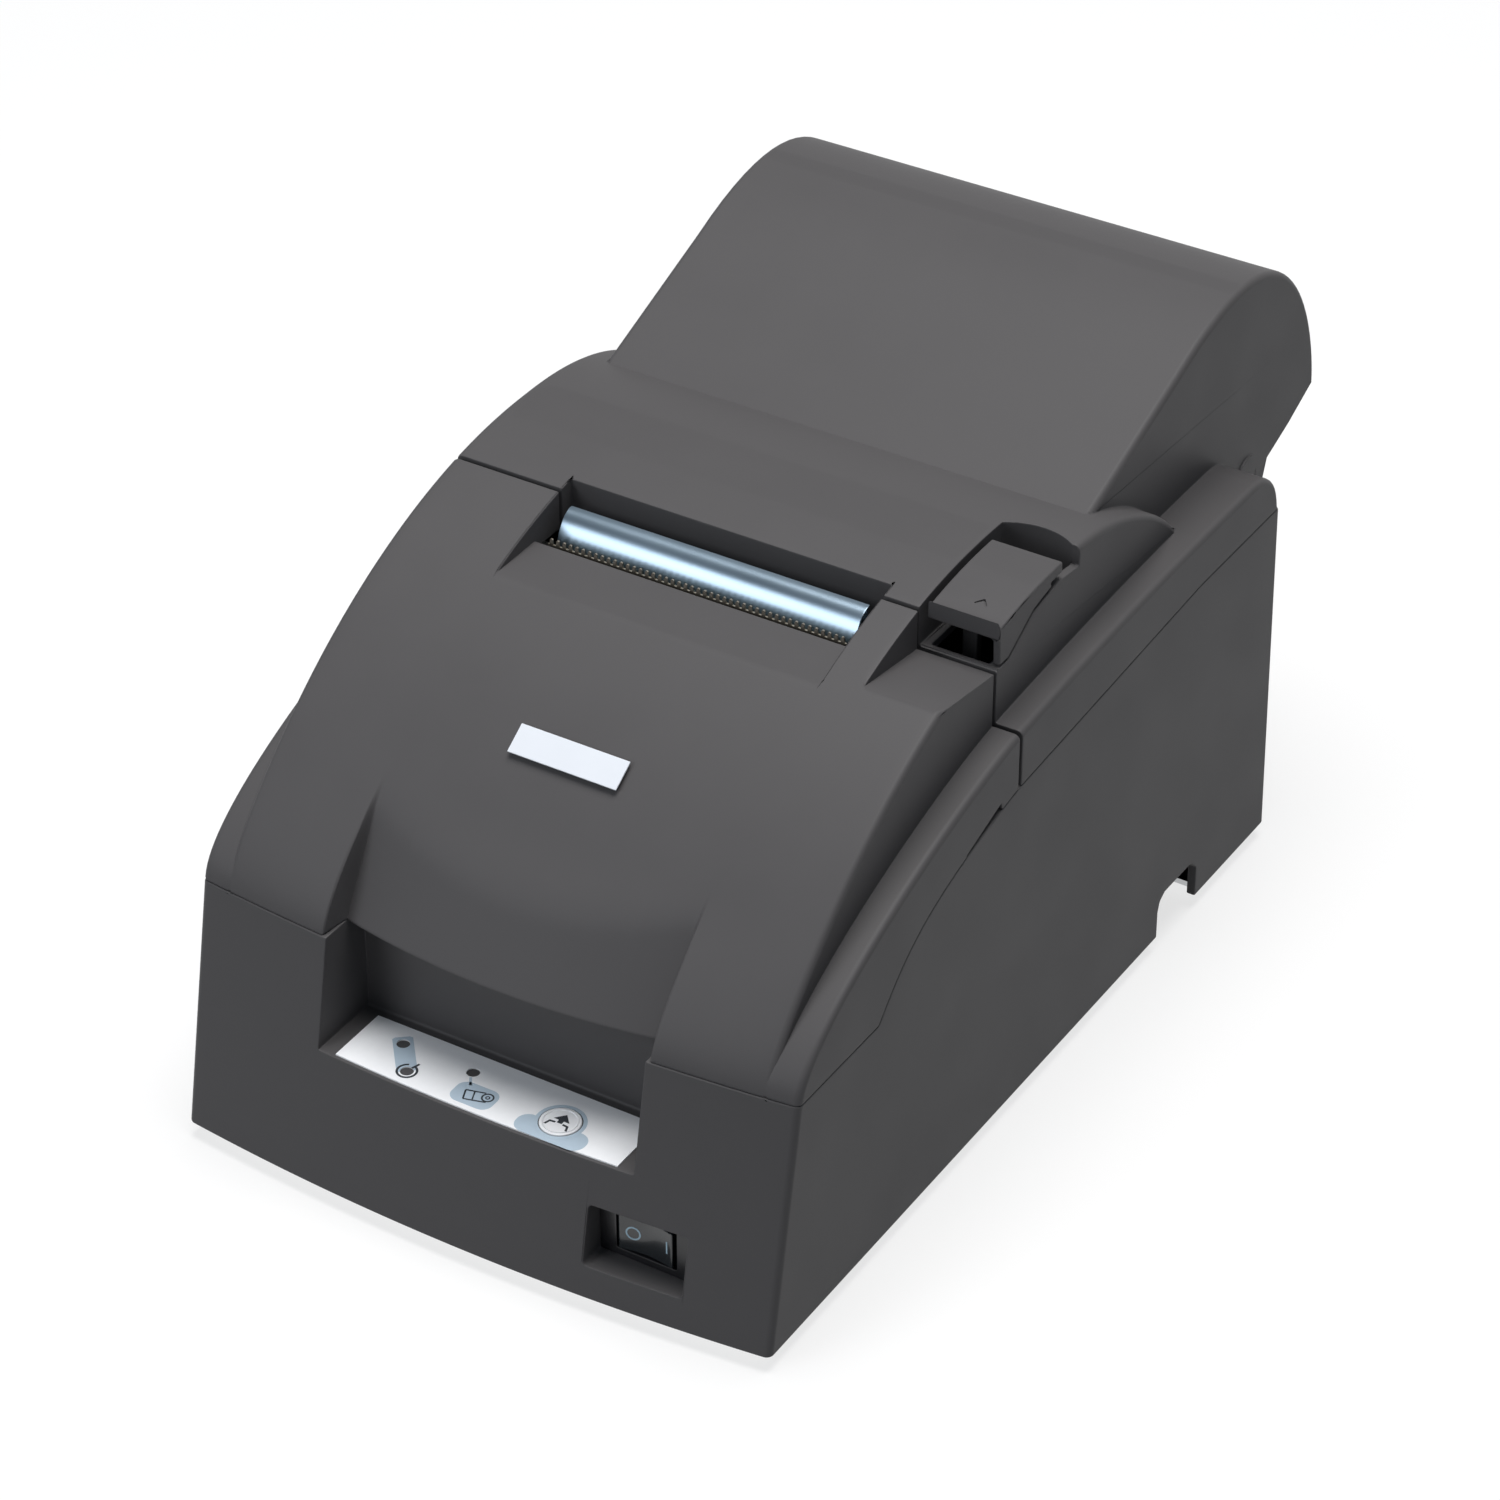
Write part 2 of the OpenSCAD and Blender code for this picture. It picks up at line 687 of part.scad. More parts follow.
// One involute gear, with a tooth centred on angle phase
module gear(teeth, phase, width, bore) {
  r = tooth_m * teeth / 2;
  base = r * cos(24);
  tip = r + 0.85 * tooth_m;
  root = r - 1.1 * tooth_m;
  slack = 0.12;
  half = 90 / teeth - slack / r * 90 / PI + flank_a(base, r);
  low = max(base, root) + 0.02;
  flank = [for (i = [0:3]) low + (tip - low) * i / 3];
  outline = [for (i = [0:teeth - 1]) let (a = phase + i * 360 / teeth) each concat(
    [polar(root, a - half)],
    [for (q = flank) polar(q, a - half + flank_a(base, q))],
    [for (k = [3:-1:0]) polar(flank[k], a + half - flank_a(base, flank[k]))],
    [polar(root, a + half)])];
  difference() {
    linear_extrude(width) polygon(outline);
    translate([0, 0, -1]) cylinder(r = bore, h = width + 2);
  }
}

module gear_x(x0, at, teeth, phase, width, bore) {
  translate([x0, at[0], at[1]]) rotate([90, 0, 90]) gear(teeth, phase, width, bore);
}

takeup_gear_x = bracket_x + bracket_t + 0.4;
takeup_gear_w = 3;

module takeup_gear() place() color("#e8e4da")
  gear_x(takeup_gear_x, spool_at, spool_teeth, spool_motor_a, takeup_gear_w, spool_pin_r);

module takeup_pinion() place() color("#c9a84c") {
  gear_x(takeup_gear_x, spool_motor_at, pinion_teeth, spool_motor_a + 180 + 180 / pinion_teeth,
    takeup_gear_w, 1);
  rod_x(bracket_x - 0.6, takeup_gear_x + takeup_gear_w, spool_motor_at[0], spool_motor_at[1], 1);
}

motor_small_r = 7.5;

module takeup_motor() place() color("#8f9193") difference() {
  rod_x(bracket_x - 19, bracket_x, spool_motor_at[0], spool_motor_at[1], motor_small_r);
  rod_x(bracket_x - 6, bracket_x + 1, spool_motor_at[0], spool_motor_at[1], 1 + running);
}

// ---- print mechanism ----

frame_y0 = 38;
frame_y1 = 128;
frame_z0 = 14;
cutter_z1 = exit_z - 7;
cutter_z0 = cutter_z1 - 8;
frame_top = cutter_z0 + 2;
shaft_at = [84, 52];
rail_at = [60, 50];
feed_at = [paper_y + 0.2 + feed_r, 62];
pinch_at = [paper_y - 0.2 - pinch_r, 62];
feed_pitch_r = tooth_m * feed_teeth / 2;
idler_pitch_r = tooth_m * idler_teeth / 2;
feed_motor_at = [100, 25];
span = feed_at - feed_motor_at;
reach_1 = pinion_r + idler_pitch_r + mesh_slack;
reach_2 = idler_pitch_r + feed_pitch_r + mesh_slack;
span_a = atan2(span[1], span[0]);
corner_a = acos((pow(reach_1, 2) + span * span - pow(reach_2, 2)) / (2 * reach_1 * norm(span)));
idler_at = feed_motor_at + polar(reach_1, span_a + corner_a);
axle_r = 2;
gear_x0 = frame_x + frame_t + 0.4;

module frame_outline() {
  polygon([[frame_y0, frame_z0], [frame_y1, frame_z0], [frame_y1, frame_top], [72, frame_top],
    [frame_y0, 74]]);
}

module side_frame(x) {
  difference() {
    across(x, x + frame_t) frame_outline();
    rod_x(x - 1, x + frame_t + 1, shaft_at[0], shaft_at[1], shaft_r);
    rod_x(x - 1, x + frame_t + 1, feed_at[0], feed_at[1], axle_r + running);
    rod_x(x - 1, x + frame_t + 1, pinch_at[0], pinch_at[1], axle_r + running);
    if (x > 0) {
      rod_x(x - 1, x + frame_t + 1, idler_at[0], idler_at[1], 1.5);
      rod_x(x - 1, x + frame_t + 1, feed_motor_at[0], feed_motor_at[1], 3);
      rod_x(x - 1, x + frame_t + 1, latch_y + 3.7, latch_z, latch_r);
    }
  }
}

module left_frame() place() color("#a3a5a6") side_frame(-frame_x - frame_t);
module right_frame() place() color("#a3a5a6") side_frame(frame_x);

bed_t = 1.2;
post_rows = [72, 118];
pulley_x = frame_x - 16;
pulley_y = 50;
carriage_motor_r = 14;

module mechanism_bed() place() color("#a3a5a6") difference() {
  block(-frame_x, frame_x, frame_y0 + 2, frame_y1 - 4, bed_z - bed_t, bed_z);
  rod_z(bed_z - bed_t - 1, bed_z + 1, -pulley_x, pulley_y, 3);
  rod_z(bed_z - bed_t - 1, bed_z + 1, pulley_x, pulley_y, 1.5);
}

module bed_posts() place() color("silver") both_sides() for (y = post_rows)
  rod_z(base_t, bed_z - bed_t, frame_x - 5, y, 3);

module carriage_shaft() place() color("silver")
  rod_x(-frame_x - frame_t, frame_x + frame_t, shaft_at[0], shaft_at[1], shaft_r);

module carriage_rail() place() color("silver") {
  block(-frame_x, frame_x, rail_at[0] - 0.6, rail_at[0] + 0.6, bed_z, rail_at[1]);
}

carriage_z1 = 66;
belt_z = bed_z + 4;

module print_carriage() place() color("#2e2f31") difference() {
  union() {
    block(-carriage_w / 2, carriage_w / 2, 74, 91, 44, carriage_z1);
    block(-carriage_w / 2, carriage_w / 2, 56, 75, rail_at[1] + 0.4, 58);
    block(-carriage_w / 2, carriage_w / 2, rail_at[0] + 0.9, rail_at[0] + 3, 45, rail_at[1] + 1);
    block(-carriage_w / 2, carriage_w / 2, rail_at[0] - 4, rail_at[0] - 0.9, 47.5, rail_at[1] + 1);
    block(-6, 6, pulley_y + pulley_r + 1, rail_at[0] - 0.9, belt_z - 1.5, 48);
  }
  rod_x(-carriage_w, carriage_w, shaft_at[0], shaft_at[1], shaft_r + running);
}

head_r = 12;

module print_head() place() color("#3b3c3e") {
  block(-10, 10, 67, 83, carriage_z1, print_z - head_r + 3);
  rod_y(66, 82, 0, print_z, head_r);
  for (i = [0:3]) rod_y(67.5 + 4 * i, 69.5 + 4 * i, 0, print_z, head_r + 1.5);
  translate([0, 82, print_z]) rotate([-90, 0, 0]) cylinder(r1 = 9, r2 = 4, h = 14, $fn = 48);
  block(-2, 2, 95, paper_y - 1.6, print_z - 5, print_z + 5);
}

module carriage_motor() place() color("#8f9193") difference() {
  rod_z(bed_z - bed_t - 22, bed_z - bed_t, -pulley_x, pulley_y, carriage_motor_r);
  rod_z(bed_z - bed_t - 6, bed_z - bed_t + 1, -pulley_x, pulley_y, 1.5 + running);
}

module pulley(x, y, bore) {
  difference() {
    union() {
      rod_z(belt_z - 3, belt_z + 3, x, y, pulley_r - 0.7);
      rod_z(belt_z - 3.6, belt_z - 2.6, x, y, pulley_r + 1);
      rod_z(belt_z + 2.6, belt_z + 3.6, x, y, pulley_r + 1);
    }
    if (bore > 0) rod_z(belt_z - 5, belt_z + 5, x, y, bore);
  }
}

module drive_pulley() place() color("#c9a84c") {
  pulley(-pulley_x, pulley_y, 0);
  rod_z(bed_z - bed_t - 4, belt_z, -pulley_x, pulley_y, 1.5);
}

module idle_pulley() place() color("#c9a84c") pulley(pulley_x, pulley_y, 1.5 + running);

module idle_pulley_pin() place() color("silver")
  rod_z(bed_z - bed_t, belt_z + 4.4, pulley_x, pulley_y, 1.5);

module belt_loop(r) {
  hull() for (x = [-pulley_x, pulley_x]) translate([x, pulley_y]) circle(r = r, $fn = 32);
}

module toothed_belt() place() color("#222222")
  translate([0, 0, belt_z - 2.3]) linear_extrude(4.6) difference() {
    belt_loop(pulley_r + 0.8);
    belt_loop(pulley_r - 0.3);
  }

module platen_bar() place() color("silver")
  block(-frame_x, frame_x, paper_y + 0.6, paper_y + 5, print_z - 8, print_z + 8);

cassette_z0 = 74;
cassette_z1 = 90;
cassette_x = frame_x - 6;
arm_x0 = cassette_x - 6;
ribbon_y = paper_y - 1.4;
ribbon_t = 0.2;

knob_x = 14 - cassette_x;
knob_y = 54;

module ribbon_cassette() place() color("#26272a") difference() {
  union() {
    block(-cassette_x, cassette_x, 46, 62, cassette_z0, cassette_z1);
    both_sides() block(arm_x0, cassette_x, 61, ribbon_y, cassette_z0, cassette_z1);
    both_sides() block(cassette_x - 1, frame_x, 60, 70, cassette_z0, cassette_z0 + 4);
  }
  rod_z(cassette_z0 + 4, cassette_z1 + 1, knob_x, knob_y, 2 + running);
}

module ink_ribbon() place() color("#1b1a22") {
  block(-arm_x0 - 3, arm_x0 + 3, ribbon_y, ribbon_y + ribbon_t, print_z - 6, print_z + 6);
}

module ribbon_knob() place() color("#4a4b4e") {
  rod_z(cassette_z0 + 4, cassette_z1 + 1, knob_x, knob_y, 2);
  rod_z(cassette_z1 + 0.3, cassette_z1 + 4.3, knob_x, knob_y, 6);
}

// ---- paper feed ----

roller_half = frame_x - 22;

module feed_roller() place() color("#2a2a2a") {
  rod_x(-roller_half, roller_half, feed_at[0], feed_at[1], feed_r);
  rod_x(-frame_x - frame_t - 0.5, gear_x0 + gear_w, feed_at[0], feed_at[1], axle_r);
}

module pinch_roller() place() color("#55575a") {
  rod_x(-roller_half, roller_half, pinch_at[0], pinch_at[1], pinch_r);
  rod_x(-frame_x - frame_t, frame_x + frame_t, pinch_at[0], pinch_at[1], axle_r);
}

// Directions from the idler to its two neighbours, and the idler's own tooth phase
to_feed = atan2(feed_at[1] - idler_at[1], feed_at[0] - idler_at[0]);
to_motor = atan2(feed_motor_at[1] - idler_at[1], feed_motor_at[0] - idler_at[0]);
idler_phase = to_feed + 180 / idler_teeth;
idler_off = (idler_phase - to_motor) * idler_teeth / 360;
pinion_phase = to_motor + 180 - (idler_off - round(idler_off) + 0.5) * 360 / pinion_teeth;

module feed_gear() place() color("#e8e4da")
  gear_x(gear_x0, feed_at, feed_teeth, to_feed + 180, gear_w, axle_r);

module idler_gear() place() color("#e8e4da")
  gear_x(gear_x0, idler_at, idler_teeth, idler_phase, gear_w, 1.5 + running);

module idler_stud() place() color("silver") {
  rod_x(frame_x, gear_x0 + gear_w + 0.4, idler_at[0], idler_at[1], 1.5);
  rod_x(gear_x0 + gear_w + 0.4, gear_x0 + gear_w + 1, idler_at[0], idler_at[1], 2.6);
}

module motor_pinion() place() color("#c9a84c") {
  gear_x(gear_x0, feed_motor_at, pinion_teeth, pinion_phase, gear_w, 1.5);
  rod_x(frame_x - 4, gear_x0 + gear_w, feed_motor_at[0], feed_motor_at[1], 1.5);
}

feed_motor_r = 12;

module feed_motor() place() color("#8f9193") difference() {
  rod_x(frame_x - 24, frame_x, feed_motor_at[0], feed_motor_at[1], feed_motor_r);
  rod_x(frame_x - 6, frame_x + 1, feed_motor_at[0], feed_motor_at[1], 1.5 + running);
}

// ---- cutter and paper exit ----

slit_y0 = 99;
slit_y1 = 104.5;
blade_half = frame_x - 14;
blade_z = cutter_z0 + 4;
blade_t = 1.2;

module cutter_frame() place() color("#77797c") difference() {
  block(-frame_x, frame_x, 84, 107.2, cutter_z0, cutter_z1);
  block(-exit_half + 3, exit_half - 3, slit_y0, slit_y1, cutter_z0 - 1, cutter_z1 + 1);
  block(-blade_half - 0.4, blade_half + 0.4, 86, slit_y1 - 0.5, blade_z - 0.1, cutter_z1 + 1);
}

module cutter_blade() place() color("silver")
  block(-blade_half, blade_half, 87, slit_y0 - 0.8, blade_z, blade_z + blade_t);

bar_half = 40.1;
bar_y = 98;
tear_z = exit_z + 1.5;
guide_z = exit_z + 3.4;
tooth_pitch = 1.6;

module tear_bar() place() color("silver") {
  block(-frame_x + 4, frame_x - 4, bar_y - 2.4, bar_y + 0.5, cutter_z1, cutter_z1 + 1.2);
  difference() {
    block(-bar_half, bar_half, bar_y - 0.5, bar_y + 0.5, cutter_z1 + 1, tear_z);
    for (i = [-25:24]) translate([(i + 0.5) * tooth_pitch, bar_y, tear_z])
      rotate([0, 45, 0]) cube([0.8, 2, 0.8], center = true);
  }
}

module paper_guide() place() color("#b9c6d3") {
  block(-exit_half + 3, exit_half - 3, 105.9, 107.1, cutter_z1, guide_z);
  rod_x(-exit_half + 3, exit_half - 3, 106.7, guide_z, 1.6);
}

// ---- paper roll bucket ----

roll_z = 52;
roll_at = [(feed_at[0] + feed_r + rear_y(roll_z) - wall) / 2 - 3.3, roll_z];
bucket_gap = 2;
bucket_t = 2;
bucket_r = roll_r + bucket_gap;
bucket_top = 70;

module bucket_side() {
  difference() {
    union() {
      translate(roll_at) circle(r = bucket_r + bucket_t);
      translate(roll_at - [bucket_r + bucket_t, 0]) square([2 * (bucket_r + bucket_t), far]);
    }
    translate([0, bucket_top]) square(far);
  }
}

module bucket_inside() {
  translate(roll_at) circle(r = bucket_r);
  translate(roll_at - [bucket_r, 0]) square([2 * bucket_r, far]);
}

module roll_bucket() place() color("#4a4948") {
  difference() {
    across(-paper_w / 2 - 1.5 - bucket_t, paper_w / 2 + 1.5 + bucket_t) bucket_side();
    across(-paper_w / 2 - 1.5, paper_w / 2 + 1.5) bucket_inside();
  }
  both_sides() for (y = [roll_at[0] - 20, roll_at[0] + 24])
    rod_z(base_t, 30, paper_w / 2 + 1.5 + bucket_t + 2, y, 2.5);
}

// ---- electronics ----

pcb_z = 7;
pcb_t = 1.6;

module main_board() place() color("#2f6b45") difference() {
  block(-frame_x - 4, frame_x - 10, 38, 122, pcb_z, pcb_z + pcb_t);
  both_sides() for (y = post_rows) rod_z(pcb_z - 1, pcb_z + pcb_t + 1, frame_x - 5, y, 3 + 0.2);
}

module board_components() place() color("#333438") {
  for (i = [0:2]) rod_z(pcb_z + pcb_t, pcb_z + pcb_t + 6, -50 + 14 * i, 105, 4);
  block(-20, 4, 70, 94, pcb_z + pcb_t, pcb_z + pcb_t + 2);
  block(16, 30, 72, 84, pcb_z + pcb_t, pcb_z + pcb_t + 2);
}

plate_y = rear_y(panel_z1) - wall - 1.2;

module connector_plate() place() color("#b0b2b3") difference() {
  block(panel_x0 - 4, panel_x1 + 4, plate_y - 0.6, plate_y + 0.6, panel_z0 - 4, panel_z1 + 4);
  block(-50, 2, plate_y - 2, plate_y + 2, 14, 26);
  block(-50, -36, plate_y - 2, plate_y + 2, 29, 34);
  block(-12, 2, plate_y - 2, plate_y + 2, 28, 35);
}

module rear_connectors() place() color("#202124") {
  block(-49.8, 1.8, plate_y - 8, plate_y + 2.5, 14.2, 25.8);
  block(-49.8, -36.2, plate_y - 8, plate_y + 2, 29.2, 33.8);
  block(-11.8, 1.8, plate_y - 8, plate_y + 2, 28.2, 34.8);
}

lower_case();
base_plate();
rubber_feet();
case_screws();
control_label();
status_leds();
panel_board();
feed_button();
button_dome();
switch_body();
power_rocker();
front_cover();
badge_plate();
front_hinge_pins();
rear_cover();
rear_hinge_pins();
release_lever();
lever_pin();
lever_spring();
latch_pin();
rear_housing();
left_frame();
right_frame();
mechanism_bed();
bed_posts();
carriage_shaft();
carriage_rail();
print_carriage();
print_head();
carriage_motor();
drive_pulley();
idle_pulley();
idle_pulley_pin();
toothed_belt();
platen_bar();
ribbon_cassette();
ink_ribbon();
ribbon_knob();
feed_roller();
feed_gear();
idler_gear();
idler_stud();
motor_pinion();
feed_motor();
pinch_roller();
cutter_frame();
cutter_blade();
tear_bar();
paper_guide();
roll_bucket();
takeup_brackets();
takeup_spool();
takeup_gear();
takeup_pinion();
takeup_motor();
main_board();
board_components();
connector_plate();
rear_connectors();
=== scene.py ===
import math

import bpy
from mathutils import Matrix, Vector


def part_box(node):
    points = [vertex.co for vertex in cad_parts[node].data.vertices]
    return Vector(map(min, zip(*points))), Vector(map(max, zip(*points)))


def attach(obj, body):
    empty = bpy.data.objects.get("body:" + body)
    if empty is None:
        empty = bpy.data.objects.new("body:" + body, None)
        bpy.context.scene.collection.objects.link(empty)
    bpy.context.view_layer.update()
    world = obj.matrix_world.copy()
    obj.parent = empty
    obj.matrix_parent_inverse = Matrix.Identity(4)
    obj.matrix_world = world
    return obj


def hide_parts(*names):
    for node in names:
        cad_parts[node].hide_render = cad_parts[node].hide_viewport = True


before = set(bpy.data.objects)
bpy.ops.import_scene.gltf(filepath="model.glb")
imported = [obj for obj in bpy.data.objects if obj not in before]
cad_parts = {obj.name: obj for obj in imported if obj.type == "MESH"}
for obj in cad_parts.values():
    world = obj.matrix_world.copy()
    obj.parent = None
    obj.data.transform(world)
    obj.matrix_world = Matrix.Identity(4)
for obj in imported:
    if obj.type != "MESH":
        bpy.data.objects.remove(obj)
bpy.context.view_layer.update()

# ---- camera, floor and light ----
# A small product table: a pale floor that turns up into a wall behind the printer, one large soft lamp
# over the printer, a weaker one at its left front, and an even pale room all round.

MM = 0.001


def place(x, y, z):
    """Millimetres from the case's front corners and lower edge to metres in the shared frame."""
    return Vector((x, y - 138, z + 4)) * MM


view_side, view_up, view_roll = math.radians(31.691), math.radians(34.830), math.radians(-0.066)
back = Vector((math.sin(view_side) * math.cos(view_up), -math.cos(view_side) * math.cos(view_up),
               math.sin(view_up)))
level_right = Vector((0, 0, 1)).cross(back).normalized()
level_up = back.cross(level_right)
right = level_right * math.cos(view_roll) + level_up * math.sin(view_roll)
up = level_up * math.cos(view_roll) - level_right * math.sin(view_roll)
eye = place(0, 120, 70) + (right * 0.774 - up * 4.831 + back * 1200.723) * MM
bpy.ops.object.camera_add()
camera = bpy.context.object
camera.matrix_world = Matrix((right, up, back)).transposed().to_4x4()
camera.matrix_world.translation = eye
camera.data.lens = 121.8
camera.data.sensor_width = 36
camera.data.clip_end = 20
bpy.context.scene.camera = camera
bpy.context.scene.view_settings.view_transform = "Standard"


def clear_selection():
    if bpy.context.object and bpy.context.object.mode != "OBJECT":
        bpy.ops.object.mode_set(mode="OBJECT")
    bpy.ops.object.select_all(action="DESELECT")


def stage_paint(name, colour):
    """Shows its own colour to the camera and to gloss, and takes shadow elsewhere."""
    paint = bpy.data.materials.new(name)
    paint.use_nodes = True
    nodes, links = paint.node_tree.nodes, paint.node_tree.links
    shader = nodes["Principled BSDF"]
    shader.inputs["Base Color"].default_value = (*colour, 1)
    shader.inputs["Roughness"].default_value = 0.85
    shader.inputs["Specular IOR Level"].default_value = 0.1
    glow = nodes.new("ShaderNodeEmission")
    glow.inputs["Color"].default_value = (1, 1, 1, 1)
    glow.inputs["Strength"].default_value = 0.72
    both = nodes.new("ShaderNodeAddShader")
    seen = nodes.new("ShaderNodeLightPath")
    mirrored = nodes.new("ShaderNodeMath")
    mirrored.operation = "MAXIMUM"
    choose = nodes.new("ShaderNodeMixShader")
    links.new(seen.outputs["Is Camera Ray"], mirrored.inputs[0])
    links.new(seen.outputs["Is Glossy Ray"], mirrored.inputs[1])
    links.new(shader.outputs[0], both.inputs[0])
    links.new(glow.outputs[0], both.inputs[1])
    links.new(mirrored.outputs[0], choose.inputs["Fac"])
    links.new(shader.outputs[0], choose.inputs[1])
    links.new(both.outputs[0], choose.inputs[2])
    links.new(choose.outputs[0], nodes["Material Output"].inputs["Surface"])
    return paint


clear_selection()
bpy.ops.mesh.primitive_plane_add(size=6, location=(0, 0.6, 0))
floor = bpy.context.object
floor.name = "studio_floor"
bpy.ops.object.mode_set(mode="EDIT")
bpy.ops.mesh.select_all(action="DESELECT")
bpy.ops.object.mode_set(mode="OBJECT")
for edge in floor.data.edges:
    edge.select = all(floor.data.vertices[i].co.y > 2.9 for i in edge.vertices)
bpy.ops.object.mode_set(mode="EDIT")
bpy.ops.mesh.select_mode(type="EDGE")
bpy.ops.mesh.extrude_region_move(TRANSFORM_OT_translate={"value": (0, 0, 4)})
bpy.ops.object.mode_set(mode="OBJECT")
floor.data.materials.append(stage_paint("studio_paper", (0.27, 0.27, 0.27)))

room = bpy.data.worlds.new("pale_room")
bpy.context.scene.world = room
room.use_nodes = True
room_nodes, room_links = room.node_tree.nodes, room.node_tree.links
room_light = room_nodes["Background"]
room_light.inputs["Color"].default_value = (0.80, 0.90, 1, 1)
room_light.inputs["Strength"].default_value = 0.23
room_seen = room_nodes.new("ShaderNodeBackground")
room_seen.inputs["Strength"].default_value = 1
seen_by = room_nodes.new("ShaderNodeLightPath")
to_camera = room_nodes.new("ShaderNodeMixShader")
room_links.new(seen_by.outputs["Is Camera Ray"], to_camera.inputs["Fac"])
room_links.new(room_light.outputs[0], to_camera.inputs[1])
room_links.new(room_seen.outputs[0], to_camera.inputs[2])
room_links.new(to_camera.outputs[0], room_nodes["World Output"].inputs["Surface"])


def soft_lamp(name, at, aim, size, watts, colour):
    bpy.ops.object.light_add(type="AREA", location=at)
    lamp = bpy.context.object
    lamp.name = name
    lamp.rotation_euler = (Vector(aim) - Vector(at)).to_track_quat("-Z", "Y").to_euler()
    lamp.data.shape = "DISK"
    lamp.data.size = size
    lamp.data.energy = watts
    lamp.data.color = colour


soft_lamp("overhead_lamp", (0.05, 0.1, 1.5), (0, 0, 0.08), 1.0, 23, (1, 0.985, 0.97))
soft_lamp("front_lamp", (-0.75, -1.45, 0.85), (0, 0, 0.07), 0.9, 8.5, (0.93, 0.96, 1))

# ---- moulded lower case ----
# The lower half of the printer's casing: one injection moulding in dark warm grey, with a fine
# spark-eroded grain. Its bowed front leans back, and the control pocket is moulded into it.


def casing_plastic(name, colour, grain=0.16, gloss=0.52):
    """Moulded plastic: an even colour with a faint mottle, and a fine matte grain."""
    plastic = bpy.data.materials.new(name)
    plastic.use_nodes = True
    nodes, links = plastic.node_tree.nodes, plastic.node_tree.links
    shader = nodes["Principled BSDF"]
    where = nodes.new("ShaderNodeTexCoord")
    mottle = nodes.new("ShaderNodeTexNoise")
    mottle.inputs["Scale"].default_value = 55
    mottle.inputs["Detail"].default_value = 4
    tint = nodes.new("ShaderNodeMix")
    tint.data_type = "RGBA"
    tint.inputs["A"].default_value = (*[c * 0.95 for c in colour], 1)
    tint.inputs["B"].default_value = (*[c * 1.05 for c in colour], 1)
    pits = nodes.new("ShaderNodeTexNoise")
    pits.inputs["Scale"].default_value = 2600
    pits.inputs["Detail"].default_value = 2
    sheen = nodes.new("ShaderNodeMapRange")
    sheen.inputs["To Min"].default_value = gloss - 0.05
    sheen.inputs["To Max"].default_value = gloss + 0.07
    skin = nodes.new("ShaderNodeBump")
    skin.inputs["Strength"].default_value = grain
    skin.inputs["Distance"].default_value = 0.0001
    for texture in (mottle, pits):
        links.new(where.outputs["Object"], texture.inputs["Vector"])
    links.new(mottle.outputs["Fac"], tint.inputs["Factor"])
    links.new(tint.outputs["Result"], shader.inputs["Base Color"])
    links.new(mottle.outputs["Fac"], sheen.inputs["Value"])
    links.new(sheen.outputs["Result"], shader.inputs["Roughness"])
    links.new(pits.outputs["Fac"], skin.inputs["Height"])
    links.new(skin.outputs["Normal"], shader.inputs["Normal"])
    shader.inputs["Specular IOR Level"].default_value = 0.2
    return plastic


casing_grey = casing_plastic("casing_grey", (0.080, 0.077, 0.079))


def bezier(start, lean_out, lean_in, end, steps):
    """Points on a curve, from its ends and the two points that it leans towards."""
    points = []
    for i in range(steps + 1):
        t = i / steps
        shares = ((1 - t) ** 3, 3 * t * (1 - t) ** 2, 3 * t * t * (1 - t), t ** 3)
        points.append(tuple(sum(s * p[k] for s, p in zip(shares, (start, lean_out, lean_in, end)))
                            for k in (0, 1)))
    return points


def side_profile(name, outline, columns):
    """A solid drawn out across the printer: a (y, z) outline, with a ring at each column in x."""
    clear_selection()
    bpy.ops.mesh.primitive_circle_add(vertices=len(outline), fill_type="NGON")
    piece = bpy.context.object
    piece.name = name
    for corner, (y, z) in zip(piece.data.vertices, outline):
        corner.co = place(columns[0], y, z)
    bpy.ops.object.mode_set(mode="EDIT")
    bpy.ops.mesh.select_all(action="SELECT")
    for x0, x1 in zip(columns, columns[1:]):
        bpy.ops.mesh.extrude_region_move(TRANSFORM_OT_translate={"value": ((x1 - x0) * MM, 0, 0)})
    bpy.ops.mesh.select_all(action="SELECT")
    bpy.ops.mesh.normals_make_consistent(inside=False)
    bpy.ops.object.mode_set(mode="OBJECT")
    return piece


def block(name, x, y, z):
    """A box between two places along each axis, for a wall or a cut."""
    clear_selection()
    middle = [(a + b) / 2 for a, b in (x, y, z)]
    bpy.ops.mesh.primitive_cube_add(size=1, location=place(*middle))
    piece = bpy.context.object
    piece.name = name
    piece.scale = [(b - a) * MM for a, b in (x, y, z)]
    bpy.ops.object.transform_apply(location=True, rotation=True, scale=True)
    return piece


def rod(name, start, end, radius, sides=48):
    """A round bar between two points, for a pin, a boss or a bore."""
    clear_selection()
    run = place(*end) - place(*start)
    bpy.ops.mesh.primitive_cylinder_add(vertices=sides, radius=radius * MM, depth=run.length,
                                        location=(place(*start) + place(*end)) / 2,
                                        rotation=run.to_track_quat("Z", "Y").to_euler())
    piece = bpy.context.object
    piece.name = name
    bpy.ops.object.transform_apply(location=True, rotation=True, scale=True)
    return piece


def settle(piece, kind, **settings):
    """Adds a modifier and applies it."""
    clear_selection()
    bpy.context.view_layer.objects.active = piece
    piece.select_set(True)
    change = piece.modifiers.new(kind.lower(), kind)
    for key, value in settings.items():
        setattr(change, key, value)
    bpy.ops.object.modifier_apply(modifier=change.name)


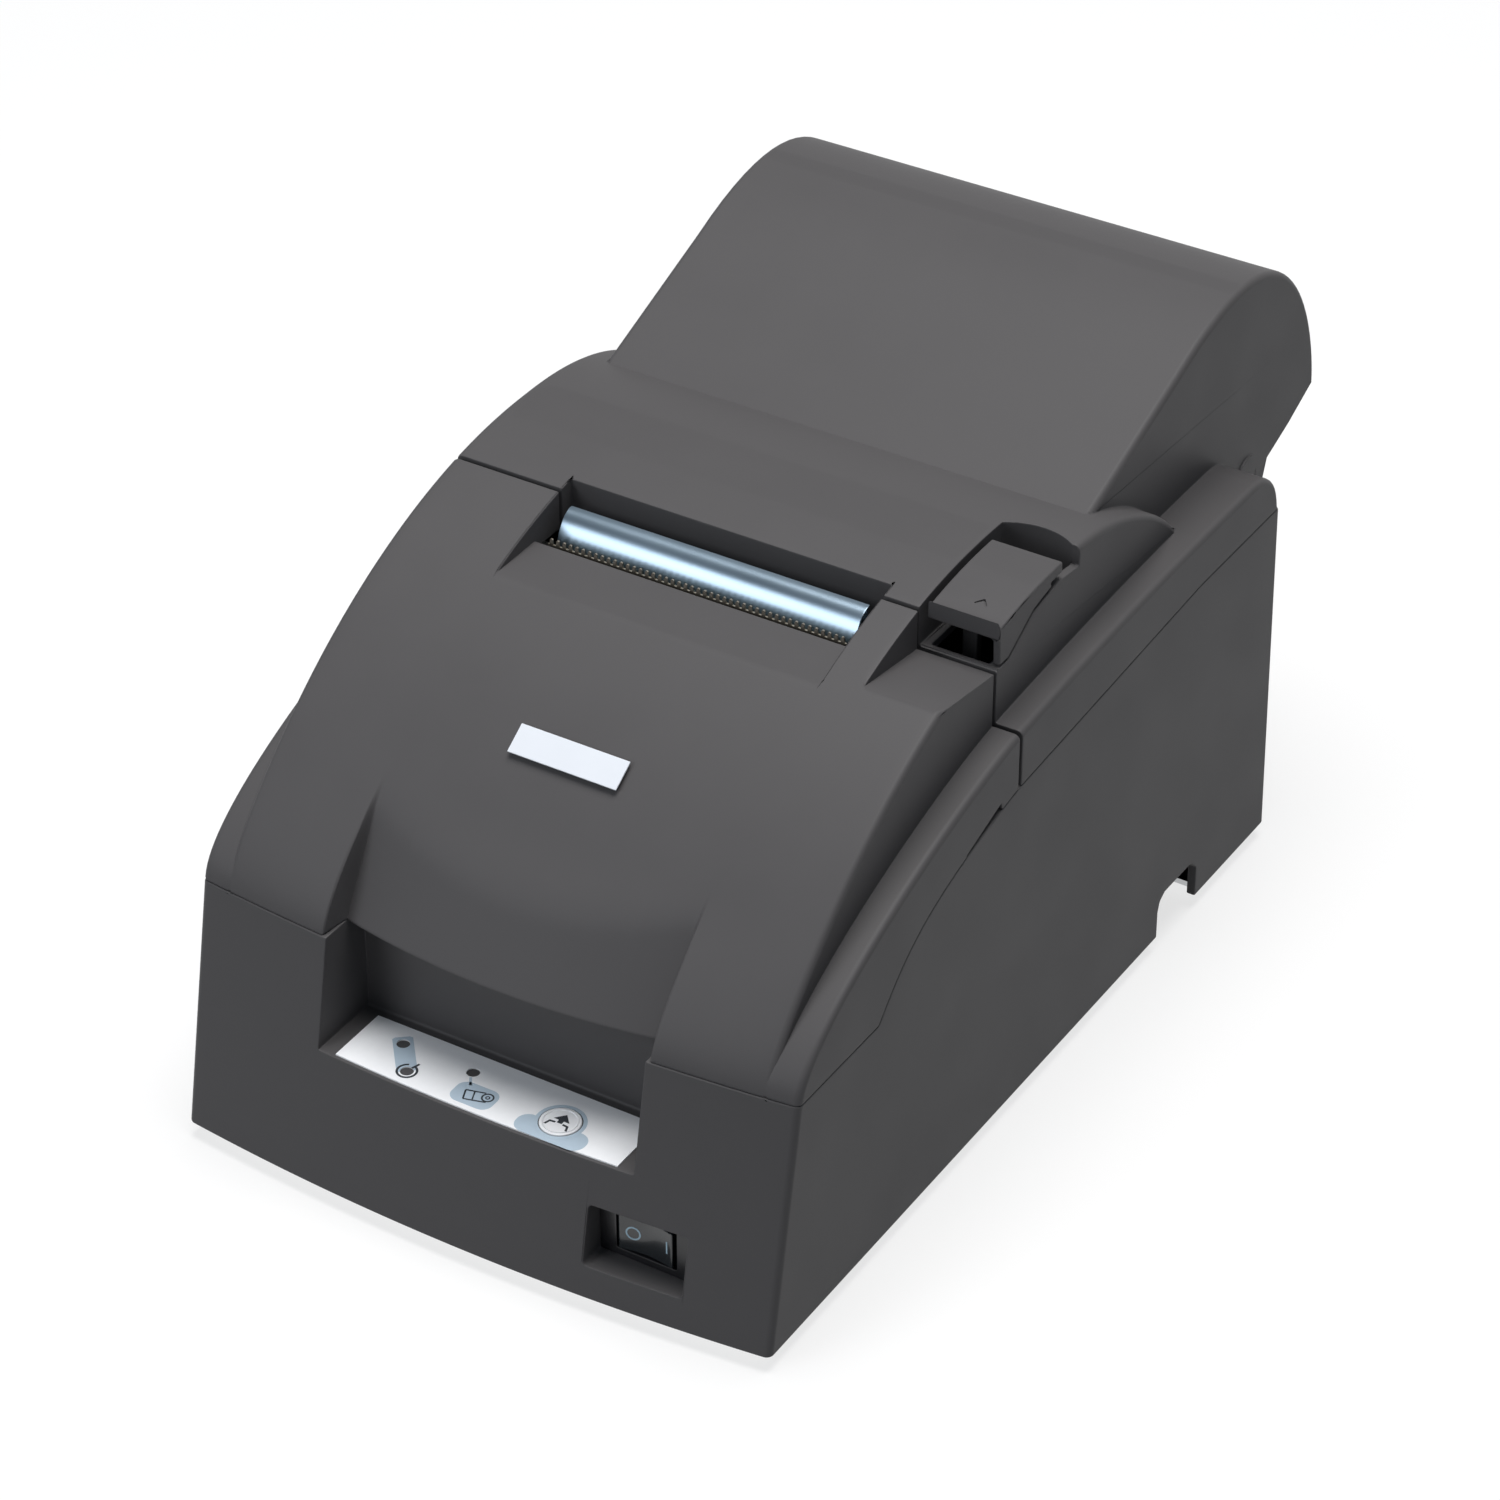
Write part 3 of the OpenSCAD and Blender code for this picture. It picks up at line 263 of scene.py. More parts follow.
def combine(piece, others, operation):
    """Joins, cuts or trims a piece with other solids, which are used up."""
    for other in others:
        settle(piece, "BOOLEAN", operation=operation, object=other, solver="EXACT")
        bpy.data.objects.remove(other)
    return piece


def mark_outward(piece, angle):
    """Gives a bevel weight to each edge that stands out and turns by more than an angle."""
    mesh = piece.data
    beside = {}
    for face in mesh.polygons:
        loop = list(face.vertices)
        for pair in zip(loop, loop[1:] + loop[:1]):
            beside[pair] = face.normal
    weights = mesh.attributes.new("bevel_weight_edge", "FLOAT", "EDGE").data
    for edge in mesh.edges:
        a, b = edge.vertices
        here, there = beside.get((a, b)), beside.get((b, a))
        if here and there and here.angle(there, 0) > math.radians(angle):
            along = mesh.vertices[a].co - mesh.vertices[b].co
            weights[edge.index].value = float(there.cross(along).dot(here) < 0)


def break_edges(piece, width=0.45, angle=38, segments=2, outward=False):
    """The small radius that a mould leaves on every sharp edge, then smooth shading."""
    if outward:
        mark_outward(piece, angle)
    settle(piece, "BEVEL", width=width * MM, segments=segments, limit_method="WEIGHT" if outward else "ANGLE",
           angle_limit=math.radians(angle), use_clamp_overlap=False, miter_outer="MITER_ARC")
    clear_selection()
    bpy.context.view_layer.objects.active = piece
    piece.select_set(True)
    bpy.ops.object.shade_smooth_by_angle(angle=math.radians(32))
    settle(piece, "WEIGHTED_NORMAL", keep_sharp=True)


def score_across(piece, places):
    """Divides a moulding's long flat rims at places along x, which keeps each face a simple shape."""
    for x in places:
        clear_selection()
        bpy.context.view_layer.objects.active = piece
        piece.select_set(True)
        bpy.ops.object.mode_set(mode="EDIT")
        bpy.ops.mesh.select_all(action="SELECT")
        bpy.ops.mesh.bisect(plane_co=(x * MM, 0, 0), plane_no=(1, 0, 0))
        bpy.ops.object.mode_set(mode="OBJECT")


def round_edges(piece, wanted, width, segments=4):
    """Bevels the edges whose two ends pass a test in millimetres of the printer's measure."""
    clear_selection()
    bpy.context.view_layer.objects.active = piece
    piece.select_set(True)
    bpy.ops.object.mode_set(mode="EDIT")
    bpy.ops.mesh.select_mode(type="EDGE")
    bpy.ops.mesh.select_all(action="DESELECT")
    bpy.ops.object.mode_set(mode="OBJECT")
    for edge in piece.data.edges:
        ends = [piece.data.vertices[i].co / MM + Vector((0, 138, -4)) for i in edge.vertices]
        edge.select = wanted(*ends)
    bpy.ops.object.mode_set(mode="EDIT")
    bpy.ops.mesh.bevel(offset=width * MM, segments=segments, affect="EDGES", clamp_overlap=True)
    bpy.ops.object.mode_set(mode="OBJECT")


def dress(piece, material, body, replaced):
    """Paints a finished piece, hangs it on its body and hides the nodes that it stands for."""
    piece.data.materials.clear()
    piece.data.materials.append(material)
    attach(piece, body)
    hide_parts(*replaced)


half_width = 80
front_bow = 5
wall = 2.4
seam_gap = 0.9


def bow(piece, fade_from=10, fade_over=25):
    """Bows a front in plan: its middle stands ahead of its corners, fading over the top."""
    for corner in piece.data.vertices:
        x, y = corner.co.x / MM, corner.co.y / MM + 138
        fade = min(1, max(0, (y - fade_from) / fade_over))
        fade = 1 - fade * fade * (3 - 2 * fade)
        corner.co.y -= front_bow * (1 - (x / half_width) ** 2) * fade * MM


def even_steps(start, end, step):
    count = max(1, round((end - start) / step))
    return [start + (end - start) * i / count for i in range(count + 1)]


def case_form(inset):
    lean = 11.75 / 62.2
    outline = [(inset * 1.02, -1 if inset else 0), (inset * 1.02 + lean * 110, 110),
               (240.5 - inset - 3 * 110 / 95.3, 110), (240.5 - inset, -1 if inset else 0)]
    columns = even_steps(-half_width + inset, half_width - inset, 4)
    form = side_profile("case_form", outline, columns)
    bow(form, fade_from=60)
    return form


seam_line = ([(-30, 62.5), (11, 62.5)]
             + bezier((46, 62.5), (57.7, 75.1), (65.9, 82.8), (108, 89.5), 24)
             + [(196, 95.3), (330, 95.3)])


def seam_side(above):
    """Everything above or below the seam line, less half of its gap."""
    shift = seam_gap / 2 if above else -seam_gap / 2
    far = 330 if above else -60
    outline = [(y, z + shift) for y, z in seam_line]
    outline += [(330, far), (-30, far)]
    return side_profile("seam_side", outline, [-120, 120])


lower_case = case_form(0)
round_edges(lower_case, lambda a, b: abs(a.x) > 79.9 and abs(b.x) > 79.9 and abs(a.z - b.z) > 5,
            1.6, 5)
combine(lower_case, [case_form(wall)], "DIFFERENCE")
pocket_half, pocket_floor, pocket_back = 42.7, 34.6, 23
switch_x, switch_z, switch_w, switch_h, switch_y = 44.9, 15.8, 25, 15.4, 5.056
pocket_tub = block("pocket_tub", (-pocket_half - wall, pocket_half + wall), (-30, pocket_back + wall),
                   (pocket_floor - wall, 110))
switch_tub = block("switch_tub", (switch_x - switch_w / 2 - wall, switch_x + switch_w / 2 + wall),
                   (-30, switch_y + wall), (switch_z - switch_h / 2 - wall, switch_z + switch_h / 2 + wall))
trimmer = case_form(0)
combine(pocket_tub, [switch_tub], "UNION")
combine(pocket_tub, [trimmer], "INTERSECT")
combine(lower_case, [pocket_tub], "UNION")
pocket_cut = block("pocket_cut", (-pocket_half, pocket_half), (-30, pocket_back), (pocket_floor, 120))
round_edges(pocket_cut, lambda a, b: (abs(a.z - pocket_floor) < 0.1 and abs(b.z - pocket_floor) < 0.1
                                      and a.y > 0 and b.y > 0), 0.8, 3)
switch_cut = block("switch_cut", (switch_x - switch_w / 2, switch_x + switch_w / 2), (-30, switch_y),
                   (switch_z - switch_h / 2, switch_z + switch_h / 2))
round_edges(switch_cut, lambda a, b: abs(a.y - b.y) > 10, 1.0, 3)
rocker_window = block("rocker_window", (switch_x - 8.3, switch_x + 8.3), (0, 12),
                      (switch_z - 6.2, switch_z + 6.2))
cord_notch = side_profile("cord_notch", [(182.5, -1), (182.5, 7.5), (183.4, 10.4), (185.8, 11.8),
                                         (199.5, 11.8), (202.5, 9), (202.5, -1)], [56, 90])
connector_window = block("connector_window", (-58, 14), (228.5, 250), (8, 36))
combine(lower_case, [pocket_cut, switch_cut, rocker_window, cord_notch, connector_window,
                     seam_side(above=True)], "DIFFERENCE")
break_edges(lower_case)
dress(lower_case, casing_grey, "case", ["lower_case"])
lower_case.name = "case_moulding"

# ---- ribbon cover and roll cover ----
# The two lids of the casing, moulded in the same grey. The front one swings forward over the
# ribbon, and the rear one swings back off the paper roll and carries the hump of the take-up.

body_half, hump_half = 72.8, 66.7
recess_half = 42.7
body_front = bezier((12, 62.2), (12.6, 75.4), (62.3, 131.5), (134.5, 131.5), 60)
body_rear = bezier((136, 131.5), (147, 131.5), (177.4, 131.9), (198, 107), 30)
fender_top = (bezier((12, 62.2), (12.5, 82), (82.4, 102.3), (108, 104.8), 40)
              + bezier((108, 104.8), (146.8, 108.1), (185, 109.5), (222, 109), 16)[1:]
              + bezier((222, 109), (231.5, 109), (235.5, 104), (236.5, 97), 10)[1:])
hump_foot = [(163 + run, 128.8 + run * 0.376) for run in (-3, 0.5, 1.2, 2, 3, 4, 5, 6)]
hump_top = hump_foot + bezier((205, 144.6), (267.9, 172.0), (281, 118.9), (281, 104), 32)


def inward(line, depth):
    """A line moved square to itself, to the right of the way it runs."""
    moved = []
    for i, (y, z) in enumerate(line):
        before, after = line[max(0, i - 1)], line[min(len(line) - 1, i + 1)]
        run = Vector((after[0] - before[0], after[1] - before[1])).normalized()
        moved.append((y + run.y * depth, z - run.x * depth))
    return moved


def under(line):
    """A side outline: the line, closed well below it."""
    return [(line[0][0], 40)] + line + [(line[-1][0], 40)]


def smooth_step(share):
    share = min(1, max(0, share))
    return share * share * (3 - 2 * share)


def panel_recess(piece, inset):
    """Sinks the middle of the front between the two pillars, with a soft run-out above."""
    half, blend = recess_half + inset, 2.5
    for corner in piece.data.vertices:
        x, y, z = (corner.co / MM + Vector((0, 138, -4)))
        if abs(x) > half + 1.2 or y > 60:
            continue
        sunk = 11.4 + x * x / 400 + (z - 62.2) * 0.5635 + inset * 1.15
        mix = max(blend - abs(y - sunk), 0) / blend
        deep = max(y, sunk) + mix * mix * blend / 4
        corner.co.y = (y + (deep - y) * smooth_step((half + 1.2 - abs(x)) / 1.2) - 138) * MM


def body_form(inset):
    line = inward(body_front, inset) + inward(body_rear, inset)
    half, crease = body_half - inset, recess_half + inset
    side = [crease, crease + 0.25, crease + 0.5, crease + 0.75, crease + 1, crease + 1.2]
    columns = ([-x for x in reversed(even_steps(crease + 1.2, half, 3.5)[1:])] + [-x for x in side[::-1]]
               + even_steps(-crease, crease, 3)[1:-1] + side + even_steps(crease + 1.2, half, 3.5)[1:])
    form = side_profile("body_form", under(line), columns)
    bow(form)
    panel_recess(form, inset)
    return form


def fender_form(inset):
    """The two shoulders beside the body, and the low deck behind it."""
    line = inward(fender_top, inset)
    deck = [p for p in line if p[0] > 182]
    form = side_profile("deck", under(deck), [-70.6, 70.6])
    for side in (-1, 1):
        columns = even_steps(side * 70.6, side * (half_width - inset), 1.8 * side)
        shoulder = side_profile("shoulder", under(line), sorted(columns))
        bow(shoulder)
        for corner in shoulder.data.vertices:
            if abs(corner.co.x) < 71.5 * MM and corner.co.y < place(0, 100, 0).y:
                corner.co.y += 0.4 * MM
        if not inset:
            round_edges(shoulder, lambda a, b: (min(abs(a.x), abs(b.x)) > 79.5 and min(a.z, b.z) > 50),
                        1.5)
        combine(form, [shoulder], "UNION")
    return form


def hump_form(inset):
    form = side_profile("hump_form", under(inward(hump_top, inset)),
                        [-hump_half + inset, hump_half - inset])
    if not inset:
        round_edges(form, lambda a, b: a.x * b.x > 0 and min(a.z, b.z) > 50, 2.8, 6)
    return form


ramp_side = 53.0


def cover_cuts(inset):
    """The paper exit's trough and the finger ramp beside it."""
    trough = block("trough", (-43.2 - inset, 43.2 + inset), (74, 112.4 + inset), (121 - inset, 190))
    ramp = side_profile("ramp", [(70, 124 - inset), (83.2, 122.1 - inset), (108, 118.6 - inset),
                                 (109, 118.6 - inset), (109, 190), (70, 190)], [ramp_side - inset, 90])
    return [trough, ramp]


def cover_shell(name):
    body = body_form(0)
    round_edges(body, lambda a, b: (min(abs(a.x), abs(b.x)) > body_half - 0.1 and a.x * b.x > 0
                                    and min(a.z, b.z) > 50), 1.6)
    combine(body, [fender_form(0), hump_form(0)], "UNION")
    combine(body, cover_cuts(0), "DIFFERENCE")
    inside = body_form(wall)
    combine(inside, [fender_form(wall), hump_form(wall)], "UNION")
    combine(inside, cover_cuts(wall), "DIFFERENCE")
    body.name = name
    return body, inside


ribbon_cover, ribbon_inside = cover_shell("ribbon_cover_moulding")
combine(ribbon_cover, [ribbon_inside], "DIFFERENCE")
combine(ribbon_cover, [seam_side(above=True), block("front_part", (-90, 90), (-30, 107.5), (40, 180))],
        "INTERSECT")
finger_notch = rod("finger_notch", (83, 85.2, 82.5), (83, 100.5, 87.4), 4.6)
combine(ribbon_cover, [block("paper_gap", (-43.2, 43.2), (97, 112.4), (90, 190)), finger_notch],
        "DIFFERENCE")
arm_hinge = (13.2, 40)


def hinge_arm(side):
    """A gooseneck that carries the cover over the top of the case's front wall."""
    arc = [(arm_hinge[0] + r * math.cos(math.radians(a)), arm_hinge[1] + r * math.sin(math.radians(a)))
           for r, angles in ((28, range(-6, 80, 5)), (23.8, range(79, -7, -5))) for a in angles]
    x0, x1 = sorted((side * 74, side * 76))
    arm = side_profile("hinge_arm", arc, [x0, x1])
    spoke = block("spoke", (x0, x1), (arm_hinge[0], arm_hinge[0] + 25), (arm_hinge[1] - 2.2, arm_hinge[1] + 2.2))
    hub = rod("hub", (x0, *arm_hinge), (x1, *arm_hinge), 2.6)
    root = block("root", sorted((side * 74, side * 78)), (20, 27), (64, 66.5))
    return combine(arm, [spoke, hub, root], "UNION")


combine(ribbon_cover, [hinge_arm(-1), hinge_arm(1)], "UNION")
score_across(ribbon_cover, (-61.3, -44.7, -30.2, -15.1, 0.1, 15.1, 30.2, 44.7, 61.3))
break_edges(ribbon_cover, outward=True)
for corner in ribbon_cover.data.vertices:
    corner.co.x = max(-half_width * MM, min(half_width * MM, corner.co.x))
dress(ribbon_cover, casing_grey, "ribbon_cover", ["front_cover"])

roll_cover, roll_inside = cover_shell("roll_cover_moulding")
lever_floor = 118.8
lever_cut = side_profile("lever_cut", [(100, lever_floor), (149.7, lever_floor), (149.7, 190), (100, 190)],
                         even_steps(52.6, 70.6, 1.5))
for corner in lever_cut.data.vertices:
    if corner.co.y > place(0, 149, 0).y:
        corner.co.y -= 3.2 * ((corner.co.x / MM - 61.6) / 9) ** 2 * MM
lip = side_profile("lip", [(100, 118.8), (114.5, 118.8), (125.6, 125.2), (138.2, 127.1), (146.5, 126.1),
                           (146.5, 190), (100, 190)], [69, 90])
lever_room = block("lever_room", (50.2, 90), (95, 152), (116.4, 190))
combine(roll_inside, [lever_room], "DIFFERENCE")
combine(roll_cover, [roll_inside], "DIFFERENCE")
above_edge = ([(y, z + seam_gap / 2) for y, z in seam_line[:-1]]
              + [(238.5, 95.75), (250.7, 92.9), (268, 99.4), (279.4, 104.75), (330, 104.75), (330, 330), (-30, 330)])
combine(roll_cover, [side_profile("above_edge", above_edge, [-120, 120]),
                     block("rear_part", (-90, 90), (108.55, 300), (40, 200))], "INTERSECT")
combine(roll_cover, [lever_cut, lip, block("paper_gap", (-43.2, 43.2), (97, 112.4), (90, 190)),
                     block("finger_hollow", (54.8, 69.8), (110.6, 124), (110, 119.5))], "DIFFERENCE")
for side in (-1, 1):
    ear = rod("ear", (side * 64.3, 245, 96), (side * 66.7, 245, 96), 5.5)
    combine(roll_cover, [ear], "UNION")
    combine(roll_cover, [rod("pin_hole", (side * 62, 245, 96), (side * 66.54, 245, 96), 2.55)], "DIFFERENCE")
break_edges(roll_cover)
for corner in roll_cover.data.vertices:
    corner.co.z = min(corner.co.z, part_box("rear_cover")[1][2])
dress(roll_cover, casing_grey, "roll_cover", ["rear_cover"])

# ---- release lever ----
# A moulded lever let into the roll cover's right corner, flush with the cover's top and side. Its
# front lip hangs over a finger hollow, and a small arrow on top shows which way it lifts.

lever_x = (54.2, 72.7)
cover_top = body_front + body_rear


def top_between(y0, y1, drop):
    return [(y, z - drop) for y, z in cover_top if y0 <= y <= y1]


plate_top = [(109.4, 131.2)] + top_between(110, 138, 0) + [(138.6, 131.5)]
plate_under = [(138.6, 128.6)] + top_between(112.5, 138, 2.9)[::-1] + [(112, 128.2), (111.6, 126.3), (109.4, 126.2)]
release_lever = side_profile("release_lever_moulding", plate_top + plate_under, list(lever_x))
skirt = side_profile("skirt", [(109.4, 131.2)] + top_between(110, 134, 0)
                     + [(134, 127.5), (125.2, 125.75), (114.1, 119.3), (110, 119.3)], [70.9, lever_x[1]])
knuckles = [rod("knuckle", (x, 136, 124.3), (x + 2.5, 136, 124.3), 2.6) for x in (54.2, 66)]
knuckles += [block("neck", (x, x + 2.5), (133.6, 138.4), (124.3, 129.5)) for x in (54.2, 66)]
hook = block("hook", (58, 62), (118.8, 121.2), (104, 129))
combine(release_lever, [skirt] + knuckles + [hook], "UNION")
combine(release_lever, [rod("pin_hole", (50, 136, 124.3), (70, 136, 124.3), 1.3)], "DIFFERENCE")
break_edges(release_lever, 0.5, segments=3)
for reach in (-1, 1):
    groove = block("groove", (-0.28, 0.28), (-2.4, 0.1), (-0.4, 0.6))
    for corner in groove.data.vertices:
        spot = corner.co / MM + Vector((0, 138, -4))
        turned = Matrix.Rotation(math.radians(-38 * reach), 3, "Z") @ spot
        corner.co = place(64.5 + turned.x, 117 + turned.y, 130.3 + turned.z)
    combine(release_lever, [groove], "DIFFERENCE")
dress(release_lever, casing_grey, "release_lever", ["release_lever"])

# ---- rear housing ----
# The fixed box under the hump, which closes the take-up's bay behind the case.
# It is moulded in the same grey, and its curved back follows the swing of the roll cover.

housing_back = (bezier((246, 47), (253, 58), (259.5, 78), (266.4, 96.2), 16)
                + [(269.6, 101.5), (274.3, 103.4)])
rear_housing = side_profile("rear_housing_moulding", [(240.6, 42.2)] + housing_back + [(240.6, 103.4)],
                            [-63.6, 63.6])
housing_inside = side_profile("housing_inside", [(225, 44.4)] + inward(housing_back, -2.2)
                              + [(274, 130), (225, 130)], [-61.3, 61.3])
for corner in housing_inside.data.vertices:
    corner.co.z = max(corner.co.z, place(0, 0, 44.4).z)
round_edges(rear_housing, lambda a, b: a.x * b.x > 0 and min(a.y, b.y) > 243, 1.5)
combine(rear_housing, [housing_inside], "DIFFERENCE")
for side in (-1, 1):
    combine(rear_housing, [rod("pin_boss", (side * 59.1, 245, 96), (side * 62, 245, 96), 4.2)], "UNION")
    combine(rear_housing, [rod("pin_hole", (side * 58, 245, 96), (side * 64, 245, 96), 2.5)], "DIFFERENCE")
break_edges(rear_housing)
dress(rear_housing, casing_grey, "case", ["rear_housing"])

# ---- base plate, feet and case screws ----
# A pressed sheet of zinc-plated steel closes the case from below. Four rubber feet are pushed into
# it, and four screws hold it up against the case's posts.


def finish_of(name, colour, metal=0.0, rough=0.5, grain=400, stretch=(1, 1, 1), bump=0.08, tint=0.06,
              shine=0.5, coat=0.0):
    """A worked surface: its colour and its roughness drift a little along the grain of the finish."""
    skin = bpy.data.materials.new(name)
    skin.use_nodes = True
    nodes, links = skin.node_tree.nodes, skin.node_tree.links
    shader = nodes["Principled BSDF"]
    where = nodes.new("ShaderNodeTexCoord")
    along = nodes.new("ShaderNodeMapping")
    along.inputs["Scale"].default_value = stretch
    texture = nodes.new("ShaderNodeTexNoise")
    texture.inputs["Scale"].default_value = grain
    texture.inputs["Detail"].default_value = 3
    drift = nodes.new("ShaderNodeMix")
    drift.data_type = "RGBA"
    drift.inputs["A"].default_value = (*[c * (1 - tint) for c in colour], 1)
    drift.inputs["B"].default_value = (*[min(1, c * (1 + tint)) for c in colour], 1)
    polish = nodes.new("ShaderNodeMapRange")
    polish.inputs["To Min"].default_value = max(0.05, rough - 0.07)
    polish.inputs["To Max"].default_value = min(1, rough + 0.07)
    height = nodes.new("ShaderNodeBump")
    height.inputs["Strength"].default_value = bump
    height.inputs["Distance"].default_value = 0.0001
    links.new(where.outputs["Object"], along.inputs["Vector"])
    links.new(along.outputs["Vector"], texture.inputs["Vector"])
    links.new(texture.outputs["Fac"], drift.inputs["Factor"])
    links.new(texture.outputs["Fac"], polish.inputs["Value"])
    links.new(texture.outputs["Fac"], height.inputs["Height"])
    links.new(drift.outputs["Result"], shader.inputs["Base Color"])
    links.new(polish.outputs["Result"], shader.inputs["Roughness"])
    links.new(height.outputs["Normal"], shader.inputs["Normal"])
    shader.inputs["Metallic"].default_value = metal
    shader.inputs["Specular IOR Level"].default_value = shine
    shader.inputs["Coat Weight"].default_value = coat
    return skin


def repaint(material, *names):
    """Gives nodes of the frame, which keep their shape, their own finish."""
    for name in names:
        for place_of_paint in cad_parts[name].material_slots:
            place_of_paint.material = material


def finished(node, name, body, material, width=0.3, angle=35, segments=2):
    """A node's own form with every edge broken, as the finished piece that stands for it."""
    clear_selection()
    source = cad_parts[node]
    piece = bpy.data.objects.new(name, source.data.copy())
    bpy.context.scene.collection.objects.link(piece)
    piece.matrix_world = source.matrix_world
    piece.select_set(True)
    bpy.context.view_layer.objects.active = piece
    bpy.ops.object.transform_apply(location=True, rotation=True, scale=True)
    bpy.ops.object.mode_set(mode="EDIT")
    bpy.ops.mesh.select_all(action="SELECT")
    bpy.ops.mesh.remove_doubles(threshold=0.000002)
    bpy.ops.mesh.dissolve_limited(angle_limit=math.radians(1))
    bpy.ops.object.mode_set(mode="OBJECT")
    break_edges(piece, width, angle, segments)
    dress(piece, material, body, [node])
    return piece


zinc_steel = finish_of("zinc_steel", (0.60, 0.61, 0.62), metal=1, rough=0.34, grain=260, stretch=(1, 1, 4),
                       tint=0.08)
foot_rubber = finish_of("foot_rubber", (0.022, 0.022, 0.023), rough=0.82, grain=900, bump=0.3, shine=0.2)
repaint(zinc_steel, "base_plate")
finished("rubber_feet", "rubber_foot_set", "case", foot_rubber, 0.9, segments=3)
finished("case_screws", "case_screw_set", "case", zinc_steel, 0.25)

# ---- badge plate ----
# A small bare plate of white lacquered aluminium on the front of the ribbon cover. It is punched
# from sheet, which rolls its edges over, and stuck down.

badge_white = finish_of("badge_white", (0.74, 0.77, 0.82), rough=0.3, grain=120, bump=0.03, tint=0.02, coat=0.3)
finished("badge_plate", "badge_plate_white", "ribbon_cover", badge_white, 0.16, segments=3)

# ---- control label, indicators and feed button ----
# A white printed film on the pocket's floor, with grey patches and dark marks, but no words. Three
# smoked indicator windows and the round feed button look through it from the board below.


def flat_piece(name, outline, low, high, lay=lambda u, v, w: (u, v, w)):
    """A flat piece from an outline, with its thickness across it, laid where it belongs."""
    clear_selection()
    bpy.ops.mesh.primitive_circle_add(vertices=len(outline), fill_type="NGON")
    piece = bpy.context.object
    piece.name = name
    for corner, (u, v) in zip(piece.data.vertices, outline):
        corner.co = (u, v, low)
    bpy.ops.object.mode_set(mode="EDIT")
    bpy.ops.mesh.select_all(action="SELECT")
    bpy.ops.mesh.extrude_region_move(TRANSFORM_OT_translate={"value": (0, 0, high - low)})
    bpy.ops.object.mode_set(mode="OBJECT")
    for corner in piece.data.vertices:
        corner.co = place(*lay(*corner.co))
    bpy.ops.object.mode_set(mode="EDIT")
    bpy.ops.mesh.select_all(action="SELECT")
    bpy.ops.mesh.normals_make_consistent(inside=False)
    bpy.ops.object.mode_set(mode="OBJECT")
    return piece


def arc_band(middle, inner, outer, start, end, step=6):
    """The outline of part of a ring."""
    count = max(2, round(abs(end - start) / step))
    turns = [math.radians(start + (end - start) * i / count) for i in range(count + 1)]
    return ([(middle[0] + outer * math.cos(a), middle[1] + outer * math.sin(a)) for a in turns]
            + [(middle[0] + inner * math.cos(a), middle[1] + inner * math.sin(a)) for a in turns[::-1]])


def rounded(x0, x1, y0, y1, radius):
    """The outline of a rectangle with round corners."""
    outline = []
    for x, y, start in ((x1 - radius, y1 - radius, 0), (x0 + radius, y1 - radius, 90),
                        (x0 + radius, y0 + radius, 180), (x1 - radius, y0 + radius, 270)):
        outline += [(x + radius * math.cos(math.radians(start + a)),
                     y + radius * math.sin(math.radians(start + a))) for a in range(0, 91, 10)]
    return outline


def stroke(start, end, width):
    """The outline of a straight line of some width."""
    run = Vector((end[0] - start[0], end[1] - start[1])).normalized() * width / 2
    return [(start[0] - run.y, start[1] + run.x), (start[0] + run.y, start[1] - run.x),
            (end[0] + run.y, end[1] - run.x), (end[0] - run.y, end[1] + run.x)]


label_white = finish_of("label_white", (0.88, 0.89, 0.91), rough=0.48, grain=700, bump=0.05, tint=0.02,
                        shine=0.4)
print_grey = finish_of("print_grey", (0.44, 0.54, 0.63), rough=0.5, grain=700, bump=0.04, tint=0.04, shine=0.4)
print_dark = finish_of("print_dark", (0.028, 0.034, 0.042), rough=0.5, grain=700, bump=0.04, tint=0.1,
                       shine=0.4)
repaint(label_white, "control_label")
label_top = pocket_floor + 0.3
led_error, led_power, led_paper, button_spot = (-27.2, 14.7), (-20.8, 6.9), (-7.7, 14.4), (19, 9.8)


def print_marks(name, outlines, material, height, body="case"):
    """Printed shapes of one colour, each a film a few hundredths of a millimetre thick."""
    marks = [flat_piece(name, outline, height, height + 0.03) for outline in outlines]
    clear_selection()
    for mark in marks:
        mark.select_set(True)
    bpy.context.view_layer.objects.active = marks[0]
    if len(marks) > 1:
        bpy.ops.object.join()
    dress(marks[0], material, body, [])
    return marks[0]


def around(middle, radius, low, high, sides=40):
    """A round hole cut through a printed film for a window or a button."""
    return rod("film_hole", (*middle, low), (*middle, high), radius, sides)


bar_run = Vector(led_power) - Vector(led_error)
bar_side = Vector((-bar_run.y, bar_run.x)).normalized() * 2.4
bar_ahead = bar_run.normalized()
bar_outline = [tuple(Vector(led_error) + bar_side - bar_ahead * 2.0),
               tuple(Vector(led_error) + bar_side * 0.7 - bar_ahead * 2.5),
               tuple(Vector(led_error) - bar_side * 0.7 - bar_ahead * 2.5),
               tuple(Vector(led_error) - bar_side - bar_ahead * 2.0),
               tuple(Vector(led_power) - bar_side), tuple(Vector(led_power) + bar_side)]
patch = print_marks("printed_patches", [bar_outline, rounded(-8.2, 2.8, 3.9, 11.2, 2.6),
                                        rounded(9.9, 28.4, 2.5, 8.9, 3.0),
                                        stroke((-7.2, 12.6), (-5.6, 10.2), 0.6)], print_grey, label_top)
halo = flat_piece("halo", arc_band(button_spot, 5.15, 6.1, 0, 360, 8), label_top + 0.01, label_top + 0.05)
combine(patch, [around(led_error, 1.6, 33, 36), around(led_power, 1.6, 33, 36), around(led_paper, 1.6, 33, 36),
                around(button_spot, 5.15, 33, 36)], "DIFFERENCE")
